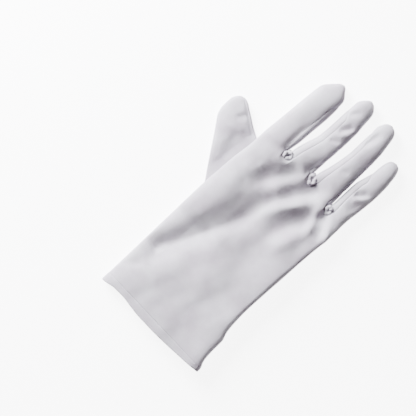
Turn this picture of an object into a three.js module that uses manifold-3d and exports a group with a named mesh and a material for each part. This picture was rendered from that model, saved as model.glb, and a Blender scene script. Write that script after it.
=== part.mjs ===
// White dress glove for the right hand, lying on its palm with the back of the hand up.
// Millimetres. +X runs to the little finger, +Y to the fingertips, +Z up from the surface.

import * as THREE from 'three';
import Module from 'manifold-3d';

// Driving sizes
const HAND_LENGTH = 168;
const PALM_WIDTH = 95;
const HAND_HEIGHT = 12;
const EDGE_HEIGHT = 4.2;
const CLOTH_WALL = 1.1;
const SEAM_GAP = 0.3;
const HEM_WIDTH = 4.5;
const HEM_WALL = 1.6;
const THUMB_REACH = 50;
const THUMB_HEIGHT = 7.5;
const THUMB_UNDER_HAND = 4.5;
const HOLE_HALF_WIDTH = 11;
const HOLE_HALF_LENGTH = 28;

// Places that follow the sizes, and shares: of the thumb's lift at the top of the hand, of the
// edge's height at a fingertip, and of a section's width that is flat beneath
const HOLE_X = -0.3475 * PALM_WIDTH;
const HOLE_Y = 0.7025 * HAND_LENGTH;
const LIFT = THUMB_UNDER_HAND + SEAM_GAP;
const LIFT_TO_TOP = 0.6;
const TIP_EDGE = 0.4;
const FINGER_FLAT = 0.55;
const HAND_FLAT = 0.78;
const KNUCKLE_BLEND = 0.2 * HAND_LENGTH;

// Where the thumb lifts the hand, in half widths and half lengths of its hole from its middle:
// from where on it does, over how far it starts to, up to where, and over how far it stops
const LIFT_SPAN = { across: 2.8, acrossOver: 1.6, from: 1.55, fromOver: 0.45, upTo: 2.5, upToOver: 1.07 };

// Roundness of the top of a section, how fast the folds fade towards its edges, the folds' reach
// in widths, and how many walls a section is thick at least
const ARCH_POWER = 2.3;
const FOLD_FADE = 1.4;
const FOLD_REACH = 3;
const WALLS_ACROSS = 2.5;

// The thumb's turn under the hand, as shares of its reach and of its neck, the roundness of its
// underside and top, and how far a wall moves its last rings back from the tip
const THUMB_TURN = { lowOut: 0.055, lowAlong: -1.03, highOut: 0.05, highAlong: 1.08, spread: 0.95 };
const THUMB_ROUND = { under: 0.55, over: 0.85 };
const TIP_RINGS = 3;
const TIP_BACK = { out: 0.7, along: 0.6 };

// Mesh density: spaces across a finger and along each part
const BACK_ACROSS = 6;
const PALM_ACROSS = 4;
const GUSSET_ACROSS = 3;
const BACK_ROWS = 26;
const PALM_ROWS = 16;
const FINGER_ROWS = [0, 0.08, 0.17, 0.27, 0.37, 0.48, 0.59, 0.69, 0.78, 0.85, 0.9, 0.94, 0.97, 0.988, 1];
const RING_POINTS = 20;
const HEM_POINTS = 44;

// Degrees round a section that give the direction in which a seam's edges move apart, and the
// share of a finger over which a seam bends
const SEAM_TURN = 3;
const SEAM_BLEND = 0.25;

// Outline of the hand: at is a share of its length, left and right of the palm's width
const HAND_OUTLINE = [
  { at: 0, left: -0.531, right: 0.547 },
  { at: 0.03, left: -0.53, right: 0.546 },
  { at: 0.071, left: -0.53, right: 0.519 },
  { at: 0.12, left: -0.53, right: 0.5105 },
  { at: 0.185, left: -0.53, right: 0.508 },
  { at: 0.226, left: -0.53, right: 0.484 },
  { at: 0.268, left: -0.53, right: 0.472 },
  { at: 0.36, left: -0.53, right: 0.463 },
  { at: 0.476, left: -0.53, right: 0.468 },
  { at: 0.595, left: -0.529, right: 0.476 },
  { at: 0.714, left: -0.521, right: 0.484 },
  { at: 0.815, left: -0.511, right: 0.495 },
  { at: 0.845, left: -0.506, right: 0.503 },
  { at: 0.893, left: -0.499, right: 0.499 },
  { at: 1, left: -0.49, right: 0.503 },
  { at: 1.1, left: -0.482, right: 0.51 },
];

// Height of the hand at shares of its length, as shares of its greatest height
const HAND_HEIGHTS = [
  { at: 0, height: 0.84 },
  { at: 0.3, height: 0.94 },
  { at: 0.6, height: 1 },
  { at: 0.85, height: 1 },
  { at: 1.1, height: 0.92 },
];

// Front edge of the cuff: across is a share of half its width, out a share of the hem's width
const CUFF_EDGE = [
  { across: -1, out: 0.67 },
  { across: -0.78, out: 0.18 },
  { across: -0.6, out: 0.11 },
  { across: -0.4, out: 0.33 },
  { across: -0.2, out: 0.51 },
  { across: 0, out: 0.51 },
  { across: 0.4, out: 0.36 },
  { across: 0.6, out: 0.18 },
  { across: 0.8, out: 0 },
  { across: 1, out: -0.22 },
];

// Where each side of each finger starts, from the index finger's outer side, in hand lengths
const CROTCHES = [0.994, 1.006, 1.018, 0.97, 0.952];

// Height of a finger at shares of its length, as shares of its full height
const FINGER_HEIGHTS = [
  { at: -0.2, height: 1 },
  { at: 0.78, height: 1 },
  { at: 0.88, height: 0.9 },
  { at: 0.94, height: 0.72 },
  { at: 0.98, height: 0.45 },
  { at: 1, height: 0.16 },
];

// The fingers: length is a share of the hand's, width, centre and lean of the palm's width, and
// height of the hand's. Outlines are shares of a finger's length and width, from a centre line that
// starts at centre and leans by lean over the finger's length. Seams are angles round the section,
// from the little finger's side over the top: at the crotch, further up, and the palm's.
const FINGERS = [
  {
    length: 0.4012,
    width: 0.2526,
    height: 0.933,
    centre: -0.3674,
    lean: 0.0568,
    seamEnd: 0.9,
    left: { crotch: 206, upper: 206, palm: 206 },
    right: { crotch: 36, upper: 47, palm: -35 },
    outline: [
      { at: -0.12, left: -0.479, right: 0.479 },
      { at: 0.03, left: -0.4875, right: 0.492 },
      { at: 0.178, left: -0.49, right: 0.518 },
      { at: 0.326, left: -0.494, right: 0.506 },
      { at: 0.549, left: -0.503, right: 0.497 },
      { at: 0.697, left: -0.503, right: 0.468 },
      { at: 0.801, left: -0.485, right: 0.429 },
      { at: 0.875, left: -0.375, right: 0.366 },
      { at: 0.942, left: -0.225, right: 0.2 },
      { at: 0.979, left: -0.14, right: 0.115 },
      { at: 1, left: -0.05, right: 0.05 },
    ],
  },
  {
    length: 0.4423,
    width: 0.2105,
    height: 0.883,
    centre: -0.0947,
    lean: 0.0316,
    seamEnd: 0.88,
    left: { crotch: 125, upper: 121, palm: 215 },
    right: { crotch: 36, upper: -4, palm: -50 },
    outline: [
      { at: -0.04, left: -0.62, right: 0.58 },
      { at: 0.04, left: -0.605, right: 0.59 },
      { at: 0.135, left: -0.555, right: 0.59 },
      { at: 0.229, left: -0.475, right: 0.595 },
      { at: 0.363, left: -0.365, right: 0.595 },
      { at: 0.498, left: -0.35, right: 0.59 },
      { at: 0.633, left: -0.36, right: 0.565 },
      { at: 0.767, left: -0.37, right: 0.485 },
      { at: 0.875, left: -0.37, right: 0.435 },
      { at: 0.929, left: -0.29, right: 0.365 },
      { at: 0.969, left: -0.165, right: 0.225 },
      { at: 0.99, left: -0.1, right: 0.13 },
      { at: 1, left: -0.05, right: 0.06 },
    ],
  },
  {
    length: 0.4321,
    width: 0.2105,
    height: 0.883,
    centre: 0.1842,
    lean: 0.0105,
    seamEnd: 0.88,
    left: { crotch: 124, upper: 130, palm: 215 },
    right: { crotch: 38, upper: -4, palm: -50 },
    outline: [
      { at: -0.07, left: -0.625, right: 0.63 },
      { at: 0.03, left: -0.625, right: 0.625 },
      { at: 0.096, left: -0.59, right: 0.62 },
      { at: 0.234, left: -0.475, right: 0.605 },
      { at: 0.372, left: -0.395, right: 0.585 },
      { at: 0.51, left: -0.35, right: 0.57 },
      { at: 0.689, left: -0.36, right: 0.525 },
      { at: 0.785, left: -0.365, right: 0.46 },
      { at: 0.868, left: -0.37, right: 0.405 },
      { at: 0.937, left: -0.295, right: 0.33 },
      { at: 0.978, left: -0.19, right: 0.21 },
      { at: 1, left: -0.07, right: 0.07 },
    ],
  },
  {
    length: 0.3262,
    width: 0.1947,
    height: 0.8,
    centre: 0.4158,
    lean: 0.0263,
    seamEnd: 0.8,
    left: { crotch: 117, upper: 125, palm: 215 },
    right: { crotch: -26, upper: -26, palm: -26 },
    outline: [
      { at: -0.18, left: -0.462, right: 0.462 },
      { at: -0.055, left: -0.478, right: 0.457 },
      { at: 0.128, left: -0.503, right: 0.486 },
      { at: 0.31, left: -0.522, right: 0.508 },
      { at: 0.4, left: -0.52, right: 0.5135 },
      { at: 0.493, left: -0.47, right: 0.503 },
      { at: 0.584, left: -0.42, right: 0.486 },
      { at: 0.675, left: -0.373, right: 0.459 },
      { at: 0.766, left: -0.357, right: 0.411 },
      { at: 0.858, left: -0.346, right: 0.357 },
      { at: 0.93, left: -0.297, right: 0.281 },
      { at: 0.976, left: -0.2, right: 0.19 },
      { at: 1, left: -0.08, right: 0.08 },
    ],
  },
];

// Folds on the back of the hand: three places on each as shares of the palm's width and the
// hand's length, the width as a share of the palm's width, the depth of the hand's height
const FOLDS = [
  { x: [-0.18, -0.21, -0.26], y: [0.935, 0.9, 0.85], width: 0.04, depth: -0.16 },
  { x: [0.105, 0.03, -0.02], y: [0.952, 0.923, 0.887], width: 0.036, depth: -0.16 },
  { x: [0.15, 0.02, -0.03], y: [0.935, 0.84, 0.7], width: 0.045, depth: 0.12 },
  { x: [0.23, 0.15, 0.06], y: [0.9, 0.82, 0.74], width: 0.036, depth: -0.2 },
  { x: [0.25, 0.21, 0.19], y: [0.83, 0.74, 0.65], width: 0.08, depth: 0.1 },
  { x: [0.25, 0.285, 0.315], y: [0.925, 0.875, 0.84], width: 0.024, depth: 0.1 },
  { x: [0.285, 0.345, 0.36], y: [0.94, 0.89, 0.84], width: 0.03, depth: -0.16 },
  { x: [0.3, 0.34, 0.4], y: [0.82, 0.73, 0.665], width: 0.05, depth: -0.1 },
  { x: [-0.16, -0.3, -0.4], y: [0.665, 0.51, 0.31], width: 0.07, depth: -0.17 },
  { x: [-0.1, -0.23, -0.35], y: [0.71, 0.53, 0.33], width: 0.05, depth: 0.08 },
  { x: [-0.4, -0.44, -0.5], y: [0.268, 0.262, 0.262], width: 0.035, depth: -0.12 },
  { x: [-0.49, -0.42, -0.39], y: [0.13, 0.15, 0.19], width: 0.035, depth: -0.12 },
  { x: [0.36, 0.36, 0.38], y: [0.17, 0.36, 0.57], width: 0.07, depth: 0.12 },
  { x: [-0.08, -0.08, -0.06], y: [0.04, 0.12, 0.2], width: 0.07, depth: -0.06 },
];

// Dents on the fingers: two places on each, from the finger's centre line as shares of its width
// and of its length, the width as a share of its width, the depth of its height
const DENTS = [
  { finger: 0, x: [0.25, 0.2], y: [0.04, 0.33], width: 0.1, depth: -0.1 },
  { finger: 1, x: [-0.02, 0.3], y: [0.54, 0.67], width: 0.12, depth: -0.14 },
  { finger: 1, x: [-0.08, 0.3], y: [0.4, 0.44], width: 0.1, depth: -0.1 },
  { finger: 2, x: [-0.1, -0.12], y: [0.85, 0.74], width: 0.09, depth: -0.12 },
  { finger: 3, x: [-0.2, 0.25], y: [0.26, 0.4], width: 0.13, depth: -0.14 },
];

// The thumb from the hand's edge to its tip: its lower and upper edge from the middle of its
// hole, out from the hand and along it, as shares of its reach, and its heights of its own height
const THUMB_RINGS = [
  { lowOut: 0.36, lowAlong: -0.22, highOut: 0.22, highAlong: 0.78, floor: 0, top: 0.6 },
  { lowOut: 0.46, lowAlong: -0.085, highOut: 0.35, highAlong: 0.844, floor: 0, top: 0.68 },
  { lowOut: 0.54, lowAlong: 0.026, highOut: 0.44, highAlong: 0.89, floor: 0, top: 0.84 },
  { lowOut: 0.66, lowAlong: 0.196, highOut: 0.57, highAlong: 0.968, floor: 0, top: 0.97 },
  { lowOut: 0.78, lowAlong: 0.368, highOut: 0.68, highAlong: 1.03, floor: 0, top: 1 },
  { lowOut: 0.89, lowAlong: 0.52, highOut: 0.76, highAlong: 1.078, floor: 0, top: 0.95 },
  { lowOut: 0.975, lowAlong: 0.646, highOut: 0.836, highAlong: 1.1, floor: 0, top: 0.86 },
  { lowOut: 1.004, lowAlong: 0.77, highOut: 0.91, highAlong: 1.084, floor: 0.04, top: 0.72 },
  { lowOut: 1.006, lowAlong: 0.87, highOut: 0.956, highAlong: 1.044, floor: 0.12, top: 0.56 },
  { lowOut: 1.006, lowAlong: 0.93, highOut: 0.99, highAlong: 0.985, floor: 0.24, top: 0.4 },
];

// The fingers' shares as sizes
const fingers = FINGERS.map((finger) => ({
  ...finger,
  length: finger.length * HAND_LENGTH,
  width: finger.width * PALM_WIDTH,
  height: finger.height * HAND_HEIGHT,
  centre: finger.centre * PALM_WIDTH,
  lean: finger.lean * PALM_WIDTH,
}));

const radians = THREE.MathUtils.degToRad;
const mix = THREE.MathUtils.lerp;

function smooth(share) {
  const s = THREE.MathUtils.clamp(share, 0, 1);
  return s * s * (3 - 2 * s);
}

// A smooth curve without overshoot through one column of a table
function follow(rows, key, column, at) {
  const last = rows.length - 1;
  if (at <= rows[0][key]) return rows[0][column];
  if (at >= rows[last][key]) return rows[last][column];
  const slope = (k) => (rows[k + 1][column] - rows[k][column]) / (rows[k + 1][key] - rows[k][key]);
  const tangent = (k) => {
    if (k === 0 || k === last) return 0;
    const before = slope(k - 1);
    const after = slope(k);
    return before * after <= 0 ? 0 : (2 * before * after) / (before + after);
  };
  let i = 0;
  while (at > rows[i + 1][key]) i += 1;
  const span = rows[i + 1][key] - rows[i][key];
  const t = (at - rows[i][key]) / span;
  const rise = rows[i + 1][column] - rows[i][column];
  const bend = tangent(i) * span * t * (1 - t) * (1 - t) - tangent(i + 1) * span * t * t * (1 - t);
  return rows[i][column] + rise * t * t * (3 - 2 * t) + bend;
}

// How far the thumb beneath the hand lifts the cloth at a place
function liftAt(x, y) {
  const wide = (HOLE_X - x) / HOLE_HALF_WIDTH;
  const long = (y - HOLE_Y) / HOLE_HALF_LENGTH;
  const across = smooth((LIFT_SPAN.across + wide) / LIFT_SPAN.acrossOver);
  const from = smooth((LIFT_SPAN.from + long) / LIFT_SPAN.fromOver);
  const to = smooth((LIFT_SPAN.upTo - long) / LIFT_SPAN.upToOver);
  return LIFT * across * from * to;
}

// Share of the full height across the top and the underside of a section, at -1 to 1 across it
function archOf(across) {
  return Math.pow(1 - Math.min(1, Math.pow(Math.abs(across), ARCH_POWER)), 1 / ARCH_POWER);
}

function soleOf(across, flat) {
  const past = Math.max(0, (Math.abs(across) - flat) / (1 - flat));
  return Math.sqrt(1 - Math.min(1, past * past));
}

// The wall's thickness inside a half size, thinner only where the section closes
const wallIn = (half, wall) => Math.min(wall, half / WALLS_ACROSS);

function distanceTo(points, x, y) {
  let nearest = Infinity;
  for (let i = 0; i + 1 < points.length; i += 1) {
    const dx = points[i + 1][0] - points[i][0];
    const dy = points[i + 1][1] - points[i][1];
    const along = ((x - points[i][0]) * dx + (y - points[i][1]) * dy) / (dx * dx + dy * dy);
    const t = THREE.MathUtils.clamp(along, 0, 1);
    nearest = Math.min(nearest, Math.hypot(x - points[i][0] - t * dx, y - points[i][1] - t * dy));
  }
  return nearest;
}

// Rise or fall of the cloth by folds on the hand and dents on the fingers
const creases = [
  ...FOLDS.map((fold) => ({
    points: fold.x.map((share, i) => [share * PALM_WIDTH, fold.y[i] * HAND_LENGTH]),
    width: fold.width * PALM_WIDTH,
    depth: fold.depth * HAND_HEIGHT,
  })),
  ...DENTS.map((dent) => {
    const finger = fingers[dent.finger];
    return {
      points: dent.y.map((share, i) => [
        finger.centre + finger.lean * share + dent.x[i] * finger.width,
        HAND_LENGTH + share * finger.length,
      ]),
      width: dent.width * finger.width,
      depth: dent.depth * finger.height,
    };
  }),
];

function creaseAt(x, y) {
  let rise = 0;
  for (const crease of creases) {
    const away = distanceTo(crease.points, x, y) / crease.width;
    if (away < FOLD_REACH) rise += crease.depth * Math.exp(-away * away);
  }
  return rise;
}

// Height of a section of the hand or of a finger. Its up and down are measured from its edge's
// height, across runs from -1 to 1, and wall moves to the inner face of the cloth.
function heightOf(x, y, across, over, section, wall) {
  const edge = section.edge + liftAt(x, y);
  if (over) {
    const arch = archOf(across);
    const up = section.up - (1 - LIFT_TO_TOP) * liftAt(x, y);
    const folds = creaseAt(x, y) * Math.min(1, arch * arch * FOLD_FADE);
    return edge + (up - wallIn(up, wall)) * arch + folds;
  }
  return edge - (section.down - wallIn(section.down, wall)) * soleOf(across, section.flat);
}

// A place on a finger: the angle round its section, the share along it, and the wall inside it
function fingerPoint(f, angle, share, wall) {
  const finger = fingers[f];
  const turn = Math.cos(radians(angle));
  const start = HAND_LENGTH * mix(CROTCHES[f], CROTCHES[f + 1], (1 + turn) / 2);
  const outerY = mix(start, HAND_LENGTH + finger.length, share);
  const at = (outerY - HAND_LENGTH) / finger.length;
  const left = finger.width * follow(finger.outline, 'at', 'left', at);
  const right = finger.width * follow(finger.outline, 'at', 'right', at);
  const half = (right - left) / 2;
  const middle = finger.centre + finger.lean * at + (left + right) / 2;
  const x = middle + (half - wallIn(half, wall)) * turn;
  const y = mix(start, HAND_LENGTH + finger.length - wall, share);
  const size = follow(FINGER_HEIGHTS, 'at', 'height', at);
  const edge = EDGE_HEIGHT * mix(TIP_EDGE, 1, size);
  const up = (finger.height - EDGE_HEIGHT) * size;
  const section = { edge, up, down: edge * Math.sqrt(size), flat: FINGER_FLAT };
  const over = Math.sin(radians(angle)) >= 0;
  return new THREE.Vector3(x, y, heightOf(x, y, turn, over, section, wall));
}

// A place on the hand's section at a height y, at -1 to 1 across it
function sectionPoint(y, across, over, wall) {
  const at = y / HAND_LENGTH;
  const left = PALM_WIDTH * follow(HAND_OUTLINE, 'at', 'left', at) + wall;
  const right = PALM_WIDTH * follow(HAND_OUTLINE, 'at', 'right', at) - wall;
  const x = mix(left, right, (1 + across) / 2);
  const height = HAND_HEIGHT * follow(HAND_HEIGHTS, 'at', 'height', at);
  const hand = { edge: EDGE_HEIGHT, up: height - EDGE_HEIGHT, down: EDGE_HEIGHT, flat: HAND_FLAT };
  return new THREE.Vector3(x, y, heightOf(x, y, across, over, hand, wall));
}

// A place on the hand below a place at the foot of a finger. The hand's round section turns into
// the fingers' own sections over the knuckles.
function handPoint(f, angle, share, wall) {
  const foot = fingerPoint(f, angle, 0, wall);
  const outer = fingerPoint(f, angle, 0, 0);
  const leftEnd = fingerPoint(0, 180, 0, 0).x;
  const rightEnd = fingerPoint(fingers.length - 1, 0, 0, 0).x;
  const across = THREE.MathUtils.clamp((2 * (outer.x - leftEnd)) / (rightEnd - leftEnd) - 1, -1, 1);
  const y = mix(HEM_WIDTH + SEAM_GAP / 2, foot.y, share);
  const over = Math.sin(radians(angle)) >= 0;
  const section = sectionPoint(y, across, over, wall);
  const knuckle = smooth(1 - (foot.y - y) / KNUCKLE_BLEND);
  const point = section.clone().lerp(foot, knuckle);
  point.y = y;
  return point;
}

// The angle of a seam on one side of a finger. The back's seam meets the palm's where it ends.
function seamAngle(f, side, edge, share) {
  const finger = fingers[f];
  const seam = finger[side];
  if (edge === 'palm') return seam.palm;
  const full = mix(seam.crotch, seam.upper, smooth(share / SEAM_BLEND));
  return mix(full, seam.palm, smooth((share - finger.seamEnd + SEAM_BLEND) / SEAM_BLEND));
}

// One column of points up a panel, moved off its seams by half the seam's gap
function panelPoint(f, edge, column, columns, share, wall, onHand) {
  const place = onHand ? handPoint : fingerPoint;
  const at = onHand ? 0 : share;
  const from = seamAngle(f, 'left', edge, at);
  const to = seamAngle(f, 'right', edge, at) + (edge === 'palm' ? 360 : 0);
  const angle = mix(from, to, column / columns);
  const point = place(f, angle, share, wall);
  if (column > 0 && column < columns) return point;
  const inwards = Math.sign(column === 0 ? to - from : from - to);
  const here = place(f, angle, share, 0);
  const next = place(f, angle + inwards * SEAM_TURN, share, 0);
  return point.add(next.sub(here).setLength(SEAM_GAP / 2));
}

// A closed solid of cloth between an outer and an inner face with the same quads
function solidOf(outer, inner, quads) {
  const count = outer.length;
  const triangles = [];
  const edges = new Map();
  for (const [a, b, c, d] of quads) {
    for (const [p, q, r] of [[a, b, c], [a, c, d]]) {
      triangles.push([p, q, r], [p + count, r + count, q + count]);
      for (const [from, to] of [[p, q], [q, r], [r, p]]) {
        if (!edges.delete(`${to},${from}`)) edges.set(`${from},${to}`, [from, to]);
      }
    }
  }
  for (const [from, to] of edges.values()) {
    triangles.push([to, from, from + count], [to, from + count, to + count]);
  }
  const geometry = new THREE.BufferGeometry().setFromPoints([...outer, ...inner]);
  geometry.setIndex(triangles.flat());
  geometry.computeVertexNormals();
  return geometry;
}

// The back or the palm: one comb of cloth, a sheet over the hand that goes on up each finger
function panelGeometry(edge, columns, rows) {
  const outer = [];
  const inner = [];
  const quads = [];
  const wide = (columns + 1) * fingers.length;
  const add = (f, column, share, onHand) => {
    outer.push(panelPoint(f, edge, column, columns, share, 0, onHand));
    inner.push(panelPoint(f, edge, column, columns, share, CLOTH_WALL, onHand));
    return outer.length - 1;
  };
  const grid = [];
  for (let row = 0; row <= rows; row += 1) {
    const line = [];
    for (let f = 0; f < fingers.length; f += 1) {
      for (let column = 0; column <= columns; column += 1) line.push(add(f, column, row / rows, true));
    }
    grid.push(line);
  }
  const cover = (below, above, from, to) => {
    for (let i = from; i < to; i += 1) {
      const quad = [below[i], below[i + 1], above[i + 1], above[i]];
      quads.push(edge === 'back' ? quad : quad.reverse());
    }
  };
  for (let row = 0; row < rows; row += 1) cover(grid[row], grid[row + 1], 0, wide - 1);
  for (let f = 0; f < fingers.length; f += 1) {
    let below = grid[rows].slice(f * (columns + 1), (f + 1) * (columns + 1));
    for (const share of FINGER_ROWS.slice(1)) {
      const above = below.map((_, column) => add(f, column, share, false));
      cover(below, above, 0, columns);
      below = above;
    }
  }
  return solidOf(outer, inner, quads);
}

// A gusset between two fingers: down the side of one, across the crotch and up the next
function gussetGeometry(f) {
  const outer = [];
  const inner = [];
  const rowAt = (finger, side, share) => {
    const back = seamAngle(finger, side, 'back', share);
    const palm = seamAngle(finger, side, 'palm', share);
    const step = Math.sign(palm - back);
    const line = [];
    for (let i = 0; i <= GUSSET_ACROSS; i += 1) {
      const angle = mix(back, palm, i / GUSSET_ACROSS);
      const ends = { 0: step, [GUSSET_ACROSS]: -step };
      const points = [0, CLOTH_WALL].map((wall) => fingerPoint(finger, angle, share, wall));
      if (i in ends) {
        const here = fingerPoint(finger, angle, share, 0);
        const next = fingerPoint(finger, angle + SEAM_TURN * ends[i], share, 0);
        const shift = next.sub(here).setLength(SEAM_GAP / 2);
        points.forEach((point) => point.add(shift));
      }
      points.forEach((point) => {
        point.y += share === 0 ? SEAM_GAP : 0;
      });
      line.push(points);
    }
    return line;
  };
  const arm = (finger, side) => FINGER_ROWS
    .filter((share) => share < fingers[finger].seamEnd - 0.05)
    .map((share) => rowAt(finger, side, share));
  const first = arm(f, 'right').reverse();
  const second = arm(f + 1, 'left');
  const down = first[first.length - 1];
  const up = second[0];
  const turn = down.map((points, i) => {
    const middle = points[0].clone().lerp(up[i][0], 0.5);
    return [middle.clone().setY(middle.y + CLOTH_WALL), middle.clone()];
  });
  const lines = [...first, turn, ...second];
  lines.flat().forEach(([out, within]) => {
    outer.push(out);
    inner.push(within);
  });
  const across = GUSSET_ACROSS + 1;
  const quads = [];
  for (let row = 0; row + 1 < lines.length; row += 1) {
    for (let i = 0; i < GUSSET_ACROSS; i += 1) {
      const at = row * across + i;
      quads.push([at, at + across, at + across + 1, at + 1]);
    }
  }
  return solidOf(outer, inner, quads);
}

// A tube of rings with its far end closed and its near end open, or open at both ends
function tubeGeometry(outerRings, innerRings, closed) {
  const points = [];
  const triangles = [];
  const round = outerRings[0].length;
  const skin = (rings, flip) => {
    const start = points.length;
    rings.flat().forEach((point) => points.push(point));
    const put = (a, b, c) => triangles.push(flip ? [a, c, b] : [a, b, c]);
    for (let ring = 0; ring + 1 < rings.length; ring += 1) {
      for (let i = 0; i < round; i += 1) {
        const a = start + ring * round + i;
        const b = start + ring * round + ((i + 1) % round);
        put(a, b, b + round);
        put(a, b + round, a + round);
      }
    }
    const last = start + (rings.length - 1) * round;
    if (closed) {
      const end = rings[rings.length - 1];
      const centre = end.reduce((sum, point) => sum.add(point), new THREE.Vector3());
      points.push(centre.divideScalar(round));
      for (let i = 0; i < round; i += 1) put(last + i, last + ((i + 1) % round), points.length - 1);
    }
    return { start, last };
  };
  const outside = skin(outerRings, false);
  const inside = skin(innerRings, true);
  for (let i = 0; i < round; i += 1) {
    const j = (i + 1) % round;
    const [a, b, c, d] = [outside.start + i, outside.start + j, inside.start + j, inside.start + i];
    triangles.push([a, c, b], [a, d, c]);
    if (closed) continue;
    const [e, g, h, k] = [outside.last + i, outside.last + j, inside.last + j, inside.last + i];
    triangles.push([e, g, h], [e, h, k]);
  }
  const geometry = new THREE.BufferGeometry().setFromPoints(points);
  geometry.setIndex(triangles.flat());
  geometry.computeVertexNormals();
  return geometry;
}

// The hem: a band round the wrist opening, with the cuff's slightly wavy edge
function hemGeometry() {
  const ringAt = (atEdge, wall) => Array.from({ length: HEM_POINTS }, (_, i) => {
    const angle = (i / HEM_POINTS) * 2 * Math.PI;
    const across = Math.cos(angle);
    const y = atEdge
      ? -HEM_WIDTH * follow(CUFF_EDGE, 'across', 'out', across)
      : HEM_WIDTH - SEAM_GAP / 2;
    return sectionPoint(Math.max(0, y), across, Math.sin(angle) >= 0, wall).setY(y);
  });
  return tubeGeometry([ringAt(false, 0), ringAt(true, 0)], [ringAt(false, HEM_WALL), ringAt(true, HEM_WALL)], false);
}

// A ring of the thumb: width runs up the hand, reach out from it, floor and top are heights.
// spread.out moves its floor towards the palm and its top away, as at the mouth.
function thumbRing(low, high, floor, top, spread, wall) {
  const middle = low.clone().lerp(high, 0.5);
  const side = high.clone().sub(low).multiplyScalar(0.5);
  const half = side.length();
  side.setLength(half - wallIn(half, wall));
  const rise = (top - floor) / 2;
  return Array.from({ length: RING_POINTS }, (_, i) => {
    const angle = (-i / RING_POINTS) * 2 * Math.PI;
    const up = -Math.cos(angle);
    const shaped = Math.sign(up) * Math.pow(Math.abs(up), up < 0 ? THUMB_ROUND.under : THUMB_ROUND.over);
    const point = middle.clone().addScaledVector(side, Math.sin(angle));
    point.x -= (spread - wallIn(spread, wall)) * up;
    point.z = (top + floor) / 2 + (rise - wallIn(rise, wall)) * shaped;
    return point;
  });
}

// The thumb: a neck in the palm's hole, turned out under the hand, then a flat tube to the tip
function thumbGeometry() {
  const place = (out, along) => new THREE.Vector3(HOLE_X - out, HOLE_Y + along, 0);
  const neckWidth = HOLE_HALF_WIDTH - SEAM_GAP;
  const neckLength = HOLE_HALF_LENGTH - SEAM_GAP;
  const rings = (wall) => {
    const neck = (height, sunk) => thumbRing(
      place(0, -neckLength), place(0, neckLength), height - sunk, height - sunk, neckWidth, wall,
    );
    const turned = thumbRing(
      place(THUMB_TURN.lowOut * THUMB_REACH, THUMB_TURN.lowAlong * neckLength),
      place(THUMB_TURN.highOut * THUMB_REACH, THUMB_TURN.highAlong * neckLength),
      0, THUMB_UNDER_HAND, THUMB_TURN.spread * neckWidth, wall,
    );
    const outside = THUMB_RINGS.map((ring, i) => {
      const back = wall * smooth((i + 1 + TIP_RINGS - THUMB_RINGS.length) / TIP_RINGS);
      const inwards = new THREE.Vector3(back * TIP_BACK.out, -back * TIP_BACK.along, 0);
      const low = place(ring.lowOut * THUMB_REACH, ring.lowAlong * THUMB_REACH).add(inwards);
      const high = place(ring.highOut * THUMB_REACH, ring.highAlong * THUMB_REACH).add(inwards);
      return thumbRing(low, high, ring.floor * THUMB_HEIGHT, ring.top * THUMB_HEIGHT, 0, wall);
    });
    return [neck(LIFT + CLOTH_WALL, 0), neck(THUMB_UNDER_HAND, wall), turned, ...outside];
  };
  return tubeGeometry(rings(0), rings(CLOTH_WALL), true);
}

// A closed three.js geometry as a solid that can be cut
function cutSolid(wasm, geometry) {
  const position = geometry.attributes.position;
  const index = geometry.index ?? { array: Uint32Array.from({ length: position.count }, (_, i) => i) };
  const mesh = new wasm.Mesh({
    numProp: 3,
    vertProperties: new Float32Array(position.array),
    triVerts: new Uint32Array(index.array),
  });
  mesh.merge();
  return new wasm.Manifold(mesh);
}

// The palm with the thumb's oval hole cut through it
async function palmGeometry() {
  const wasm = await Module();
  wasm.setup();
  const oval = new THREE.Shape();
  oval.absellipse(HOLE_X, HOLE_Y, HOLE_HALF_WIDTH, HOLE_HALF_LENGTH, 0, 2 * Math.PI);
  const plug = new THREE.ExtrudeGeometry(oval, {
    depth: 2 * HAND_HEIGHT,
    bevelEnabled: false,
    curveSegments: 28,
  });
  plug.translate(0, 0, -HAND_HEIGHT / 2);
  const sheet = cutSolid(wasm, panelGeometry('palm', PALM_ACROSS, PALM_ROWS));
  const cut = sheet.subtract(cutSolid(wasm, plug)).getMesh();
  const geometry = new THREE.BufferGeometry();
  geometry.setAttribute('position', new THREE.BufferAttribute(cut.vertProperties, 3));
  geometry.setIndex(new THREE.BufferAttribute(cut.triVerts, 1));
  geometry.computeVertexNormals();
  return geometry;
}

const glove = new THREE.Group();

function addPiece(name, geometry, colour, roughness) {
  const material = new THREE.MeshStandardMaterial({ color: colour, roughness, metalness: 0 });
  const mesh = new THREE.Mesh(geometry, material);
  mesh.name = name;
  glove.add(mesh);
}

addPiece('back_panel', panelGeometry('back', BACK_ACROSS, BACK_ROWS), 0xdadbe0, 0.72);
addPiece('palm_panel', await palmGeometry(), 0xd6d7dc, 0.74);
['index_middle', 'middle_ring', 'ring_little'].forEach((pair, f) => {
  addPiece(`fourchette_${pair}`, gussetGeometry(f), 0xd2d3d9, 0.74);
});
addPiece('thumb', thumbGeometry(), 0xd8d9de, 0.72);
addPiece('cuff_hem', hemGeometry(), 0xd4d5da, 0.76);

// The origin goes under the middle of the glove's box, on the surface that it lies on
const bounds = new THREE.Box3().setFromObject(glove);
const centre = bounds.getCenter(new THREE.Vector3());
glove.position.set(-centre.x, -centre.y, -bounds.min.z);

export default glove;
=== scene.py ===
"""A white dress glove lying palm down: its cloth, gussets, thumb, hem, seams and stitches."""

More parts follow.
